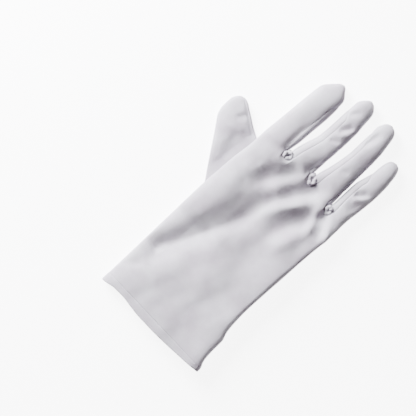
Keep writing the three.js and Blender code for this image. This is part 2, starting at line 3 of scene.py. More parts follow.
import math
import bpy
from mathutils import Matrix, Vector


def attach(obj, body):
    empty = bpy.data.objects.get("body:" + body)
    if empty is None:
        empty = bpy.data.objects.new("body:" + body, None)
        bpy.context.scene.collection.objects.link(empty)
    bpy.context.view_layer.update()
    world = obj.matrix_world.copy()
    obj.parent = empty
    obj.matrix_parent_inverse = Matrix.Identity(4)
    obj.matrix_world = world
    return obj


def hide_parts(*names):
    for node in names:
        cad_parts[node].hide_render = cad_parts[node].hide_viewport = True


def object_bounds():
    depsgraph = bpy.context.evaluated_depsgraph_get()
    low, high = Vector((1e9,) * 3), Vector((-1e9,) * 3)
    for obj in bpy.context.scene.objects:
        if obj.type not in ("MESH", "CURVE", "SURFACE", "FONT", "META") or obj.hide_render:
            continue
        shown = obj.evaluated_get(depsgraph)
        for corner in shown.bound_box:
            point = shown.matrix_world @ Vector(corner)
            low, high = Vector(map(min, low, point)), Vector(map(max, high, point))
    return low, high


bl_info = {
    "name": "White dress glove",
    "version": (1, 0, 0),
    "blender": (4, 5, 0),
    "location": "View3D > Sidebar > Glove",
    "description": "Sews a white dress glove around its solids, one piece at a time",
    "category": "Object",
}

import bpy
import numpy as np
from mathutils import Matrix, Vector

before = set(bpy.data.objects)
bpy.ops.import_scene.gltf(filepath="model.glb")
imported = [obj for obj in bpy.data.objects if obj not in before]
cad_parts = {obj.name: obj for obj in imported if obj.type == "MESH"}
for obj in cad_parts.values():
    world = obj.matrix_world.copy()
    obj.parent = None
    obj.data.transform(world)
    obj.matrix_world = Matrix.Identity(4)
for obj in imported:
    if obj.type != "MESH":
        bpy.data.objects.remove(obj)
CAD_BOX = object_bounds()

# Lengths below are in millimetres from the middle of the cuff, with x to the little finger
# and y to the fingertips. The thumb's tip and the longest fingertip tie them to the frame.
MM = 0.001
THUMB_TIP = 83.29
FINGERTIP = 242.3
ORIGIN = np.array([CAD_BOX[0][0] / MM + THUMB_TIP, CAD_BOX[1][1] / MM - FINGERTIP, 0.0])

HAND_LENGTH = 168.0
PALM_WIDTH = 95.0
HAND_HEIGHT = 12.0
EDGE_HEIGHT = 4.2
HEM_WIDTH = 4.5
KNUCKLE_BLEND = 0.2 * HAND_LENGTH
CROTCH_BLEND = 0.04 * HAND_LENGTH
LIFT = 4.8
LIFT_TO_TOP = 0.6
FINGER_FLAT = 0.55
HAND_FLAT = 0.78
ARCH_POWER = 2.3
ARCH_FULL = 7.0
FOLD_FADE = 1.4
HOLE = {"x": -33.0, "y": 118.0, "half_width": 11.0, "half_length": 28.0}
HOLE_ROOM = 1.5

# Where the thumb lifts the cloth, in half widths and half lengths of its hole from the hole's
# middle: the edges of the rise across, from the cuff and to the fingers, and how far each takes
LIFT_SPAN = {
    "across": 2.8, "across_over": 1.6,
    "from": 1.55, "from_over": 0.45,
    "up_to": 2.5, "up_to_over": 1.07,
}

# Outline of the hand: shares of its length, then of the palm's width
HAND_OUTLINE = {
    "at": (0, 0.03, 0.05, 0.071, 0.12, 0.185, 0.226, 0.268, 0.36, 0.476, 0.595, 0.714,
           0.815, 0.845, 0.893, 1, 1.1),
    "left": (-0.531, -0.53, -0.53, -0.53, -0.53, -0.53, -0.53, -0.53, -0.53, -0.53, -0.529, -0.521,
             -0.511, -0.506, -0.499, -0.49, -0.482),
    "right": (0.547, 0.546, 0.53, 0.519, 0.5105, 0.508, 0.484, 0.472, 0.463, 0.468, 0.476, 0.484,
              0.495, 0.503, 0.499, 0.503, 0.51),
}
HAND_HEIGHTS = {"at": (0, 0.3, 0.6, 0.85, 1.1), "height": (0.84, 0.94, 1, 1, 0.92)}

# Front edge of the cuff: share of its half width, and how far out as a share of the hem's width
CUFF_EDGE = {
    "at": (-1, -0.78, -0.6, -0.4, -0.2, 0, 0.4, 0.6, 0.8, 1),
    "out": (0.67, 0.18, 0.11, 0.33, 0.51, 0.51, 0.36, 0.18, 0, -0.22),
}

# Where the sides of the fingers start, in hand lengths, and the fingers themselves. Outlines are
# shares of length and width from a centre line. Seams are angles round the section in degrees,
# from the little finger's side over the top: at the crotch, further up, and the palm's. The
# back's left and right seams are soft at 0 and crisp at 1.
CROTCHES = (0.994, 1.006, 1.018, 0.97, 0.952)
FINGER_HEIGHTS = {
    "at": (-0.2, 0.78, 0.88, 0.94, 0.98, 1),
    "height": (1, 1, 0.9, 0.72, 0.47, 0.2),
}
TIP_EDGE = 0.4
TIP_START = 0.982
TIP_ROUND = 0.018
FINGERS = (
    {
        "name": "index", "crisp": (1, 0.5), "length": 67.4, "width": 24.0, "height": 11.2,
        "centre": -34.9, "lean": 5.4, "seam_end": 0.9,
        "left": (206, 206, 206), "right": (36, 47, -35),
        "outline": {
            "at": (-0.12, 0.03, 0.178, 0.326, 0.549, 0.697, 0.801, 0.875, 0.942, 0.979, 1),
            "left": (-0.479, -0.4875, -0.49, -0.494, -0.503, -0.503, -0.485, -0.375, -0.225,
                     -0.14, -0.05),
            "right": (0.479, 0.492, 0.518, 0.506, 0.497, 0.468, 0.429, 0.366, 0.2, 0.115, 0.05),
        },
    },
    {
        "name": "middle", "crisp": (0.15, 1), "length": 74.3, "width": 20.0, "height": 10.6,
        "centre": -9.0, "lean": 3.0, "seam_end": 0.88,
        "left": (125, 121, 215), "right": (36, -4, -50),
        "outline": {
            "at": (-0.04, 0.04, 0.135, 0.229, 0.363, 0.498, 0.633, 0.767, 0.875, 0.929, 0.969, 0.99, 1),
            "left": (-0.62, -0.605, -0.555, -0.475, -0.365, -0.35, -0.36, -0.37, -0.37, -0.29, -0.165,
                     -0.1, -0.05),
            "right": (0.58, 0.59, 0.59, 0.595, 0.595, 0.59, 0.565, 0.485, 0.435, 0.365, 0.225, 0.13, 0.06),
        },
    },
    {
        "name": "ring", "crisp": (0.3, 1), "length": 72.6, "width": 20.0, "height": 10.6,
        "centre": 17.5, "lean": 1.0, "seam_end": 0.88,
        "left": (124, 130, 215), "right": (38, -4, -50),
        "outline": {
            "at": (-0.07, 0.03, 0.096, 0.234, 0.372, 0.51, 0.689, 0.785, 0.868, 0.937, 0.978, 1),
            "left": (-0.625, -0.625, -0.59, -0.475, -0.395, -0.35, -0.36, -0.365, -0.37, -0.295,
                     -0.19, -0.07),
            "right": (0.63, 0.625, 0.62, 0.605, 0.585, 0.57, 0.525, 0.46, 0.405, 0.33, 0.21, 0.07),
        },
    },
    {
        "name": "little", "crisp": (0.5, 1), "length": 54.8, "width": 18.5, "height": 9.6,
        "centre": 39.5, "lean": 2.5, "seam_end": 0.8,
        "left": (117, 125, 215), "right": (-26, -26, -26),
        "outline": {
            "at": (-0.18, -0.055, 0.128, 0.31, 0.4, 0.493, 0.584, 0.675, 0.766, 0.858, 0.93, 0.976, 1),
            "left": (-0.462, -0.478, -0.503, -0.522, -0.52, -0.47, -0.42, -0.373, -0.357, -0.346, -0.297,
                     -0.2, -0.08),
            "right": (0.462, 0.457, 0.486, 0.508, 0.5135, 0.503, 0.486, 0.459, 0.411, 0.357, 0.281,
                      0.19, 0.08),
        },
    },
)

# Folds in the cloth of the back: a path from the cuff's end up, or from the index side across,
# the rise along it, and how wide it is to the left and to the right of the path. The shares of
# the path that it fades in and out over are in the column ends, where they aren't FOLD_ENDS.
FOLD_ENDS = (0.4, 0.4)
FOLD_START = 0.2
FOLD_REACH = 3
FOLDS = (
    # The long valley from the knuckles down to the index side
    {"path": ((-42, 28), (-34, 50), (-26, 72), (-17, 92), (-9, 112), (-4, 130), (-3, 142)),
     "rise": -4.2, "left": 25, "right": 9, "ends": (0.25, 0.4)},
    {"path": ((-41, 44), (-29, 68), (-18, 92), (-10, 110), (-8, 124)), "rise": -1.5, "left": 10, "right": 5,
     "ends": (0.12, 0.5)},
    {"path": ((-50, 46), (-46, 80), (-44, 110), (-45, 140)), "rise": 2.6, "left": 8, "right": 22,
     "ends": (0.3, 0.4)},
    {"path": ((-54, 46.5), (-44, 44.5), (-34, 42)), "rise": -2.4, "left": 10, "right": 2.2},
    {"path": ((-51, 20), (-44, 22), (-37, 30)), "rise": -1.2, "left": 8, "right": 3},
    # Furrows and ridges below the crotches
    {"path": ((-26, 130), (-19, 143), (-11, 156), (-4, 167)), "rise": -4.4, "left": 9, "right": 6,
     "ends": (0.5, 0.5)},
    {"path": ((-46, 147), (-37, 147), (-29, 146)), "rise": -0.6, "left": 5, "right": 6},
    {"path": ((-46, 138), (-30, 139), (-15, 135)), "rise": 0.8, "left": 6, "right": 6},
    {"path": ((-2, 137), (5, 149), (13, 161), (21, 173)), "rise": -4.7, "left": 10, "right": 6.5,
     "ends": (0.45, 0.5)},
    {"path": ((-7, 106), (-1, 124), (7, 139), (17, 153)), "rise": 1.6, "left": 5, "right": 5,
     "ends": (0.4, 0.4)},
    {"path": ((11, 104), (15, 120), (21, 135), (27, 147), (33, 157)), "rise": -3.8, "left": 9, "right": 7,
     "ends": (0.45, 0.35)},
    {"path": ((21, 106), (26, 120), (29, 135)), "rise": 0.8, "left": 6, "right": 6},
    {"path": ((33, 132), (29, 146), (23, 160)), "rise": 1.4, "left": 3.5, "right": 3.5, "ends": (0.4, 0.4)},
    {"path": ((41, 135), (39, 144), (36, 151), (31, 158)), "rise": -2.4, "left": 6, "right": 3.5,
     "ends": (0.45, 0.3)},
    {"path": ((33, 157), (40, 150), (49, 141)), "rise": 0.8, "left": 2.8, "right": 2.6, "ends": (0.4, 0.3)},
    {"path": ((44, 104), (38, 120), (31, 137)), "rise": -0.6, "left": 7, "right": 7},
    # Broad swells
    {"path": ((46, -60), (47, 20), (46, 80), (48, 150)), "rise": 2.2, "left": 15, "right": 15},
    {"path": ((0, 40), (6, 60), (2, 84)), "rise": 0.7, "left": 14, "right": 14},
)
# All the folds are deepened by this much
FOLD_DEPTH = 1.35

# Irregular waves in the cloth: a seed for their directions, their length and their height
RIPPLES = {
    "fine": {"seed": 4, "size": 16, "height": 0.14},
    "broad": {"seed": 12, "size": 40, "height": 0.6},
    "thumb": {"seed": 9, "size": 12, "height": 0.08},
    "puckers": {"seed": 21, "size": 9, "height": 1.0},
}
RIPPLE_WAVES = 14

FINGER_FOLDS = (
    {"path": ((-26.5, 166), (-27, 180), (-26.5, 194)), "rise": -0.8, "left": 3.2, "right": 2},
    {"path": ((-11.5, 221), (-8.3, 225), (-5.5, 230)), "rise": -1.0, "left": 2, "right": 1.8},
    {"path": ((-7, 207), (-3.5, 212), (-0.3, 218)), "rise": -1.4, "left": 3.6, "right": 1.5},
    {"path": ((-5, 204.5), (-1, 209), (2, 214)), "rise": 0.7, "left": 1.8, "right": 2.6},
    {"path": ((-8, 197.5), (-4, 199), (0, 202)), "rise": -0.8, "left": 3, "right": 1.4},
    {"path": ((-2, 163), (1, 172), (1.5, 184)), "rise": -1.2, "left": 5, "right": 3},
    {"path": ((14.4, 213), (15.9, 222), (17.6, 231)), "rise": -1.5, "left": 2.8, "right": 2.2},
    {"path": ((15, 187), (19, 188.5), (22, 191)), "rise": -0.6, "left": 2.6, "right": 2},
    {"path": ((36, 181.5), (40.5, 185), (45.5, 190.5)), "rise": -1.4, "left": 4, "right": 1.4},
    {"path": ((37, 178.5), (41.5, 181.5), (46.5, 186.5)), "rise": 0.7, "left": 1.6, "right": 3},
    {"path": ((41, 168), (44, 176), (46, 186)), "rise": -0.7, "left": 5, "right": 3},
)
PALM_FOLDS = (
    {"path": ((-12, 70), (-6, 100), (8, 122), (30, 130)), "rise": -0.9, "left": 2.2, "right": 2.2},
    {"path": ((-16, 128), (4, 140), (28, 146), (42, 144)), "rise": -0.8, "left": 2, "right": 2.6},
    {"path": ((-30, 30), (0, 36), (34, 31)), "rise": -0.5, "left": 3, "right": 3},
)

# The thumb: its lower and upper edge outwards and along the hand from the middle of its hole,
# as shares of its reach, and its floor and top as shares of its height
THUMB_REACH = 50.0
THUMB_HEIGHT = 7.5
THUMB_UNDER_HAND = 4.5
THUMB_RINGS = {
    "at": (0, 0.1, 0.2, 0.34, 0.48, 0.62, 0.74, 0.84, 0.92, 0.97),
    "low_out": (0.36, 0.46, 0.54, 0.66, 0.78, 0.89, 0.975, 1.004, 1.006, 1.006),
    "low_along": (-0.22, -0.085, 0.026, 0.196, 0.368, 0.52, 0.646, 0.77, 0.87, 0.93),
    "high_out": (0.22, 0.35, 0.44, 0.57, 0.68, 0.76, 0.836, 0.91, 0.956, 0.99),
    "high_along": (0.78, 0.844, 0.89, 0.968, 1.03, 1.078, 1.1, 1.084, 1.044, 0.985),
    "floor": (0, 0, 0, 0, 0, 0, 0, 0.04, 0.12, 0.24),
    "top": (0.6, 0.68, 0.84, 0.97, 1, 0.95, 0.86, 0.72, 0.56, 0.4),
}
THUMB_FOLDS = (
    {"path": ((-70, 156), (-67, 160.5), (-62, 165)), "rise": -0.7, "left": 3, "right": 3.4,
     "ends": (0.45, 0.45)},
    {"path": ((-59, 151), (-54, 155), (-48, 158)), "rise": -0.5, "left": 4, "right": 4,
     "ends": (0.45, 0.45)},
    {"path": ((-55, 128), (-57, 142), (-61, 153)), "rise": -0.9, "left": 6, "right": 5},
)

# Its neck turns outwards beneath the palm, by these shares of its reach and of the hole's half
# length, and its section is flatter below and rounder above
THUMB_TURN = {"low_out": 0.055, "low_along": -1.03, "high_out": 0.05, "high_along": 1.08, "spread": 0.95}
THUMB_ROUND = {"under": 0.55, "over": 0.9}
THUMB_TIP_START = 0.9
THUMB_TIP_ROUND = 0.0701
THUMB_NECK = {"gap": 0.3, "above_lift": 1.0}
# Where the thumb is clear of the hand, and its back seam as a sine round the section
THUMB_CLEAR = {"x": -46, "over": 6}
THUMB_SEAM = {"at": 0.86, "depth": 0.55, "width": 0.7, "hollow": 0.15, "hollow_width": 2.5}

# Rows and columns of the cloth, and how close to each other the rows are at the fingertips
HAND_ROWS = 142
FINGER_ROWS = 62
WEB_COLUMNS = 12
GUSSET_COLUMNS = 14
THUMB_COLUMNS = 96
THUMB_ROWS = (10, 70, 14)
HEM_COLUMNS = 240
TIP_CROWDING = 1.2

# Seams: the share of a finger over which they change course, the depth, width and power of their
# groove and of the hollow beside it from soft to crisp, the height they pull to, the room that
# they need, and how far below the crotches their pull is felt
SEAM_BLEND = 0.25
GROOVE = {"soft": 0.22, "crisp": 0.72, "width": 0.75, "power": 1.3}
HOLLOW = {"soft": 0.36, "crisp": 0.16, "width": 2.8}
SEAM_HEART = 5.0
SEAM_ROOM = 4.0
SEAM_FADE = 2.2
SEAM_STOP = 0.01

# Puckers beside the seams: a wave's length, its height and that of the waves across it, how far
# they reach and how near to the seam they begin. A crotch counts as nearer than it is.
PUCKERS = {"length": 4.6, "height": 0.13, "wander": 0.12, "reach": 3.2, "from": 0.9}
CROTCH_NEARNESS = 0.8

# The gathered rings in the crotches: their reach as a share of the gap between two fingers'
# seams, the tube's thickness and how much its lobes add, its three stretches, how far it tilts,
# and where its middle lies below the seams
GATHERS = {
    "reach": 0.25, "thick": 0.8, "lobes": 0.85, "wide": 1.05, "long": 1.15, "high": 0.85,
    "tilt": 0.5, "dip": 0.85, "drop": 0.5, "seed": 31, "rows": 90, "columns": 26,
}

# Hem stitches: rows and sides of each, how much its ends taper, how deep it is sunk, and the gap
# to the next as shares of the thread's thickness and of its length
STITCH = {"rows": 9, "sides": 6, "taper": 0.98, "sunk": 0.35, "gap": 0.45, "from_edge": 0.5}

# Profile of the turned hem, from the stitched edge over the outside, round the fold and back
# inside: its depth in the cloth, as shares of HEM_DEPTH, and its place along the hem
HEM_DEPTH = 1.3
HEM_PROFILE = {
    "depth": (0.55, 0.1, -0.12, -0.16, -0.16, -0.14, -0.05, 0.3, 0.7, 1.1, 1.3, 1.3, 1.3, 1.1),
    "share": (0.0, -0.02, 0.06, 0.2, 0.6, 0.88, 0.96, 1.0, 1.0, 0.96, 0.85, 0.4, 0.05, 0.0),
}
HEM_OVERLAP = 0.35

# How far the cloth's edge dips across a crotch, on the back and on the palm, and how many times
# less than that it goes down
BACK_DIP = 3.6
PALM_DIP = 1.5
DIP_DOWN = 6

# The floor's half width, its place below the glove and its glow, seen and as light. The lamp and
# the room's faint light, in metres and watts.
FLOOR_REACH = 3.0
FLOOR_DROP = 0.0003
FLOOR_GLOW = {"seen": 7.0, "lighting": 2.2}
LAMP = {"place": (-0.83, 0.14, 0.38), "size": 0.5, "power": 66.0, "colour": (0.965, 0.985, 1.0)}
ROOM = {"colour": (1.0, 0.7, 0.8, 1), "strength": 0.075}

# The photograph: its width in pixels, the size of a pixel on the glove in millimetres, the angle
# between its rows and the fingers, and the place of the middle of the cuff in it
PHOTO_WIDTH = 416
PIXEL = 0.774
TURN = math.radians(43.5)
CUFF_PIXEL = (150, 323)
CAMERA_HEIGHT = 1.1


def smooth(share):
    """Smooth step: 3s^2 - 2s^3 of the share held between 0 and 1."""
    s = np.clip(share, 0.0, 1.0)
    return s * s * (3 - 2 * s)


def mix(a, b, share):
    return a + (b - a) * share


def follow(table, column, at):
    """Smooth curve without overshoot through one column of a table.

    Between two rows it is a Hermite cubic. The slope at a row is the harmonic mean of the slopes
    of the chords beside it, and nought where they differ in sign and at the ends."""
    x = np.asarray(table["at"], float)
    y = np.asarray(table[column], float)
    chord = np.diff(y) / np.diff(x)
    product = chord[:-1] * chord[1:]
    total = np.where(product > 0, chord[:-1] + chord[1:], 1.0)
    slope = np.zeros(len(y))
    slope[1:-1] = np.where(product > 0, 2 * product / total, 0.0)
    at = np.clip(at, x[0], x[-1])
    i = np.clip(np.searchsorted(x, at, side="right") - 1, 0, len(chord) - 1)
    span = x[i + 1] - x[i]
    t = (at - x[i]) / span
    bend = span * t * (1 - t) * ((1 - t) * slope[i] - t * slope[i + 1])
    return y[i] + (y[i + 1] - y[i]) * t * t * (3 - 2 * t) + bend


def rounded(points, steps=6):
    """Points along a smooth curve through the given ones: a Catmull-Rom spline, on each span
    half of (2b + (c-a)t + (2a-5b+4c-d)t^2 + (3b-a-3c+d)t^3)."""
    p = np.asarray(points, float)
    p = np.vstack([2 * p[0] - p[1], p, 2 * p[-1] - p[-2]])
    t = np.linspace(0, 1, steps, endpoint=False)[:, None]
    parts = []
    for a, b, c, d in zip(p[:-3], p[1:-2], p[2:-1], p[3:]):
        square = (2 * a - 5 * b + 4 * c - d) * t**2
        parts.append((2 * b + (c - a) * t + square + (3 * b - a - 3 * c + d) * t**3) / 2)
    return np.vstack([*parts, p[-2]])


def fold_rise(x, y, folds):
    """Rise of the cloth by a list of folds at places x, y.

    A fold is its rise times exp(-(d/w)^2), with d the distance to its path and w its width on
    that side, and it fades out along the path's first and last parts. The width goes smoothly from
    one side's to the other's round the path's ends."""
    rise = np.zeros(np.broadcast(x, y).shape)
    for fold in folds:
        line = rounded(fold["path"])
        reach = FOLD_REACH * max(fold["left"], fold["right"])
        low, high = line.min(0) - reach, line.max(0) + reach
        near = (x > low[0]) & (x < high[0]) & (y > low[1]) & (y < high[1])
        if not near.any():
            continue
        px, py = x[near][:, None], y[near][:, None]
        start, step = line[:-1], np.diff(line, axis=0)
        squared = (step**2).sum(1)
        along_step = (px - start[:, 0]) * step[:, 0] + (py - start[:, 1]) * step[:, 1]
        t = np.clip(along_step / squared, 0, 1)
        dx = px - start[:, 0] - t * step[:, 0]
        dy = py - start[:, 1] - t * step[:, 1]
        distance = np.hypot(dx, dy)
        best = distance.argmin(1)
        row = np.arange(len(best))
        scale = np.maximum(distance * np.sqrt(squared), 1e-6)
        side = ((step[:, 0] * dy - step[:, 1] * dx) / scale)[row, best]
        along = (best + t[row, best]) / len(step)
        width = mix(fold["right"], fold["left"], smooth((1 + side) / 2))
        fade_in, fade_out = fold.get("ends", FOLD_ENDS)
        fade = smooth(FOLD_START + along / fade_in) * smooth(FOLD_START + (1 - along) / fade_out)
        bell = np.exp(-((distance[row, best] / width) ** 2))
        rise[near] += FOLD_DEPTH * fold["rise"] * bell * fade
    return rise


def ripple(x, y, seed, size, height):
    """Soft irregular waves: a sum of sines with set directions, lengths near size and phases."""
    dice = np.random.default_rng(seed)
    total = np.zeros(np.broadcast(x, y).shape)
    for _ in range(RIPPLE_WAVES):
        turn, phase = dice.uniform(0, math.tau, 2)
        wave = math.tau / (size * dice.uniform(0.6, 1.8))
        total = total + np.sin(wave * (x * math.cos(turn) + y * math.sin(turn)) + phase)
    return height * total / 4


def lift_at(x, y):
    """How far the thumb beneath the hand lifts the cloth: three smooth steps multiplied."""
    wide, long, span = HOLE["half_width"], HOLE["half_length"], LIFT_SPAN
    across = smooth((HOLE["x"] + span["across"] * wide - x) / (span["across_over"] * wide))
    start = smooth((y - HOLE["y"] + span["from"] * long) / (span["from_over"] * long))
    end = smooth((HOLE["y"] + span["up_to"] * long - y) / (span["up_to_over"] * long))
    return LIFT * across * start * end


def arch(across, full):
    """Superellipse: (1 - |a|^p)^(1/p) at -1 to 1 across a section, with its own p on the right."""
    power = np.where(across < 0, ARCH_POWER, full)
    return np.power(1 - np.minimum(1, np.power(np.abs(across), power)), 1 / power)


def sole(across, flat):
    """Flat underside with an elliptical edge that starts at the share flat."""
    past = np.clip((np.abs(across) - flat) / (1 - flat), 0, 1)
    return np.sqrt(1 - past * past)


def height_of(x, y, across, over, edge, up, down, flat):
    """Height of a section without its folds, and how fully the folds show there: an arch above
    its edge, or a flat sole below it, both lifted by the thumb. The folds show where the arch is
    high, or where the sole is over two thirds of the way down."""
    lift = lift_at(x, y)
    bow, under = arch(across, mix(ARCH_POWER, ARCH_FULL, flat > FINGER_FLAT)), sole(across, flat)
    top = edge + lift + (up - (1 - LIFT_TO_TOP) * lift) * bow
    show = np.where(over, np.minimum(1, FOLD_FADE * bow**2), smooth(3 * under - 2))
    return np.where(over, top, edge + lift - down * under), show


def folds_at(x, y, over):
    """Rise of the cloth by its folds, on the back or on the palm."""
    back = fold_rise(x, y, FOLDS + FINGER_FOLDS)
    back = back + ripple(x, y, **RIPPLES["fine"]) + ripple(x, y, **RIPPLES["broad"])
    return np.where(over, back, np.abs(fold_rise(x, y, PALM_FOLDS)))


def cap(share):
    """Rounds off a finger's last part, down to nothing at its tip."""
    past = np.clip((share - TIP_START) / TIP_ROUND, 0, 1)
    return np.sqrt(1 - past * past)


def finger_middle(f, angle, share):
    """Middle, half width and distance along the hand of a finger's section."""
    finger = FINGERS[f]
    turn = np.cos(np.radians(angle))
    start = HAND_LENGTH * mix(CROTCHES[f], CROTCHES[f + 1], (1 + turn) / 2)
    y = mix(start, HAND_LENGTH + finger["length"], share)
    at = (y - HAND_LENGTH) / finger["length"]
    left = finger["width"] * follow(finger["outline"], "left", at)
    right = finger["width"] * follow(finger["outline"], "right", at)
    middle = finger["centre"] + finger["lean"] * at + (left + right) / 2
    return middle, (right - left) / 2 * cap(share), y, turn, at


def finger_place(f, angle, share):
    """A place on a finger without its folds, middle + half width * cos(angle) across, and how
    fully the folds show there."""
    finger = FINGERS[f]
    angle, share = np.broadcast_arrays(np.asarray(angle, float), np.asarray(share, float))
    middle, half, y, turn, at = finger_middle(f, angle, share)
    x = middle + half * turn
    size = follow(FINGER_HEIGHTS, "height", at) * cap(share)
    over = np.sin(np.radians(angle)) >= 0
    edge = EDGE_HEIGHT * mix(TIP_EDGE, 1, size)
    up = (finger["height"] - EDGE_HEIGHT) * size
    z, show = height_of(x, y, turn, over, edge, up, edge * np.sqrt(size), FINGER_FLAT)
    return np.stack([x, y, z], axis=-1), show, over


def finger_point(f, angle, share):
    """A place on a finger with its folds."""
    point, show, over = finger_place(f, angle, share)
    point[..., 2] += show * folds_at(point[..., 0], point[..., 1], over)
    return point


def seam_angle(f, side, edge, share):
    """Angle of a seam round a finger. The back's seam meets the palm's where it ends."""
    crotch, upper, palm = FINGERS[f][side]
    full = palm if edge == "palm" else mix(crotch, upper, smooth(share / SEAM_BLEND))
    return mix(full, palm, smooth((share - FINGERS[f]["seam_end"] + SEAM_BLEND) / SEAM_BLEND))


def packed(columns):
    """Shares 0 to 1 that lie closer together at both ends: s - sin(2 pi s) / 11."""
    s = np.linspace(0, 1, columns)
    return s - np.sin(math.tau * s) / 11


def seam_shift(f, points, share, length, crisp):
    """Pull of the seams on either side of a strip, towards the middle of the finger's section.

    At a distance d a seam has a groove, exp(-(d/w)^p), and a wider hollow, exp(-(d/w)^2). The
    groove is deeper at a crisp seam, and the hollow at a soft one."""
    middle = finger_middle(f, np.full(points.shape[:-1], 90.0), share)[0]
    inwards = np.stack(
        [middle - points[..., 0], np.zeros(middle.shape), SEAM_HEART - points[..., 2]], axis=-1)
    reach = np.linalg.norm(inwards, axis=-1, keepdims=True)
    depth = 0
    for distance, edge in ((length, crisp[0]), (length[:, -1:] - length, crisp[1])):
        narrow = np.exp(-((distance / GROOVE["width"]) ** GROOVE["power"]))
        groove = mix(GROOVE["soft"], GROOVE["crisp"], edge) * narrow
        wide = np.exp(-((distance / HOLLOW["width"]) ** 2))
        depth = depth + groove + mix(HOLLOW["soft"], HOLLOW["crisp"], edge) * wide
    room = np.minimum(1.0, reach / SEAM_ROOM)
    return inwards / np.maximum(reach, 1e-6) * depth[..., None] * room


def across_length(points):
    """Length along each row of a grid of points, from its first column."""
    steps = np.linalg.norm(np.diff(points, axis=1), axis=-1)
    return np.concatenate([np.zeros((len(points), 1)), np.cumsum(steps, axis=1)], axis=1)


def line_length(line):
    """Length along a line of points, from its first point."""
    steps = np.linalg.norm(np.diff(line, axis=0), axis=1)
    return np.concatenate([[0], np.cumsum(steps)])


FINGER_SHARES = 1 - (1 - np.linspace(0, 1, FINGER_ROWS + 1)) ** TIP_CROWDING


def strip_of(f, kind, columns):
    """The cloth of one finger as a grid of points: rows from the crotch to the tip, columns round
    the section between the seams on either side, which the seams pull inwards."""
    share = FINGER_SHARES[:, None]
    crisp = FINGERS[f]["crisp"]
    if kind == "back":
        ends = seam_angle(f, "right", "back", share), seam_angle(f, "left", "back", share)
        crisp = crisp[::-1]
    elif kind == "palm":
        ends = seam_angle(f, "left", "palm", share), seam_angle(f, "right", "palm", share) + 360
        crisp = (1, 1)
    elif kind == "index":
        ends = seam_angle(f, "right", "back", share), seam_angle(f, "right", "palm", share) + 360
        crisp = (crisp[1], 1)
    else:
        ends = seam_angle(f, "left", "palm", share) - 360, seam_angle(f, "left", "back", share)
        crisp = (1, crisp[0])
    angle = mix(ends[0], ends[1], packed(columns)[None, :])
    points = finger_point(f, angle, share)
    foot, show, over = finger_place(f, angle[0], 0.0)
    length = across_length(points)
    distance = np.minimum(length, length[:, -1:] - length)
    shift = seam_shift(f, points, np.broadcast_to(share, distance.shape), length, crisp)
    return {"foot": foot, "show": show, "over": over, "points": points, "shift": shift,
            "length": length, "gap": distance}


WEB_SHARES = np.linspace(0, 1, WEB_COLUMNS + 1)[1:-1]


def web_feet(first, last, dip):
    """Feet of the cloth across a crotch: a line between the feet of two fingers, less the square
    root of sin(pi s) times a dip towards the cuff, and a small share of it downwards."""
    s = WEB_SHARES[:, None]
    return mix(first, last, s) - np.sqrt(np.sin(math.pi * s)) * np.array([0, dip, dip / DIP_DOWN])


def hand_section(y, across, over, inset=0.0):
    """Places across the hand at a distance from the cuff without their folds, and how fully the
    folds show there. An inset moves them into the glove."""
    at = y / HAND_LENGTH
    low = PALM_WIDTH * follow(HAND_OUTLINE, "left", at) + inset
    high = PALM_WIDTH * follow(HAND_OUTLINE, "right", at) - inset
    x = mix(low, high, (1 + across) / 2)
    up = HAND_HEIGHT * follow(HAND_HEIGHTS, "height", at) - EDGE_HEIGHT - inset
    wide = np.broadcast_to(across, x.shape)
    z, show = height_of(x, y, wide, over, EDGE_HEIGHT, up, EDGE_HEIGHT - inset, HAND_FLAT)
    return x, z, show


def hand_grid(feet, over, show, shifts):
    """The cloth of the hand: rows from the hem up to the feet of the fingers and the crotches.

    Each column keeps its share across the hand. The section's round height turns into the
    fingers' own heights over the knuckles, and the seams' pull fades out below the crotches."""
    left = finger_place(0, 180, 0.0)[0][0]
    right = finger_place(3, 0, 0.0)[0][0]
    across = np.clip(2 * (feet[:, 0] - left) / (right - left) - 1, -1, 1)[None, :]
    share = np.linspace(0, 1, HAND_ROWS + 1)[:, None]
    y = mix(HEM_WIDTH, feet[None, :, 1], share)
    x, z, shown = hand_section(y, across, over[None, :])
    past = feet[None, :, 1] - y
    x = mix(x, feet[None, :, 0], smooth(1 - past / KNUCKLE_BLEND))
    round_off = np.where(over[None, :], CROTCH_BLEND, KNUCKLE_BLEND)
    knuckle = smooth(1 - past / round_off)
    z = mix(z, feet[None, :, 2], knuckle) + mix(shown, show, knuckle) * folds_at(x, y, over[None, :])
    points = np.stack([x, y, z], axis=-1)
    fade = np.exp((y - feet[None, :, 1]) / SEAM_FADE)
    return points + shifts[None, :, :] * fade[..., None]


def quads_of(index):
    """Quads of a grid of vertex numbers, with rows running up and columns over to the left."""
    a, b, c, d = index[:-1, :-1], index[1:, :-1], index[1:, 1:], index[:-1, 1:]
    return np.stack([a, b, c, d], axis=-1).reshape(-1, 4)


def closed_round(index):
    """A grid of vertex numbers with its first column repeated after its last."""
    return np.hstack([index, index[:, :1]])


def vertex_normals(points, quads):
    """Normals of the vertices: the sum of the cross products of the faces' diagonals."""
    a, b, c, d = (points[quads[:, i]] for i in range(4))
    face = np.cross(c - a, d - b)
    normals = np.zeros_like(points)
    for i in range(4):
        np.add.at(normals, quads[:, i], face)
    return normals / np.maximum(np.linalg.norm(normals, axis=1, keepdims=True), 1e-9)


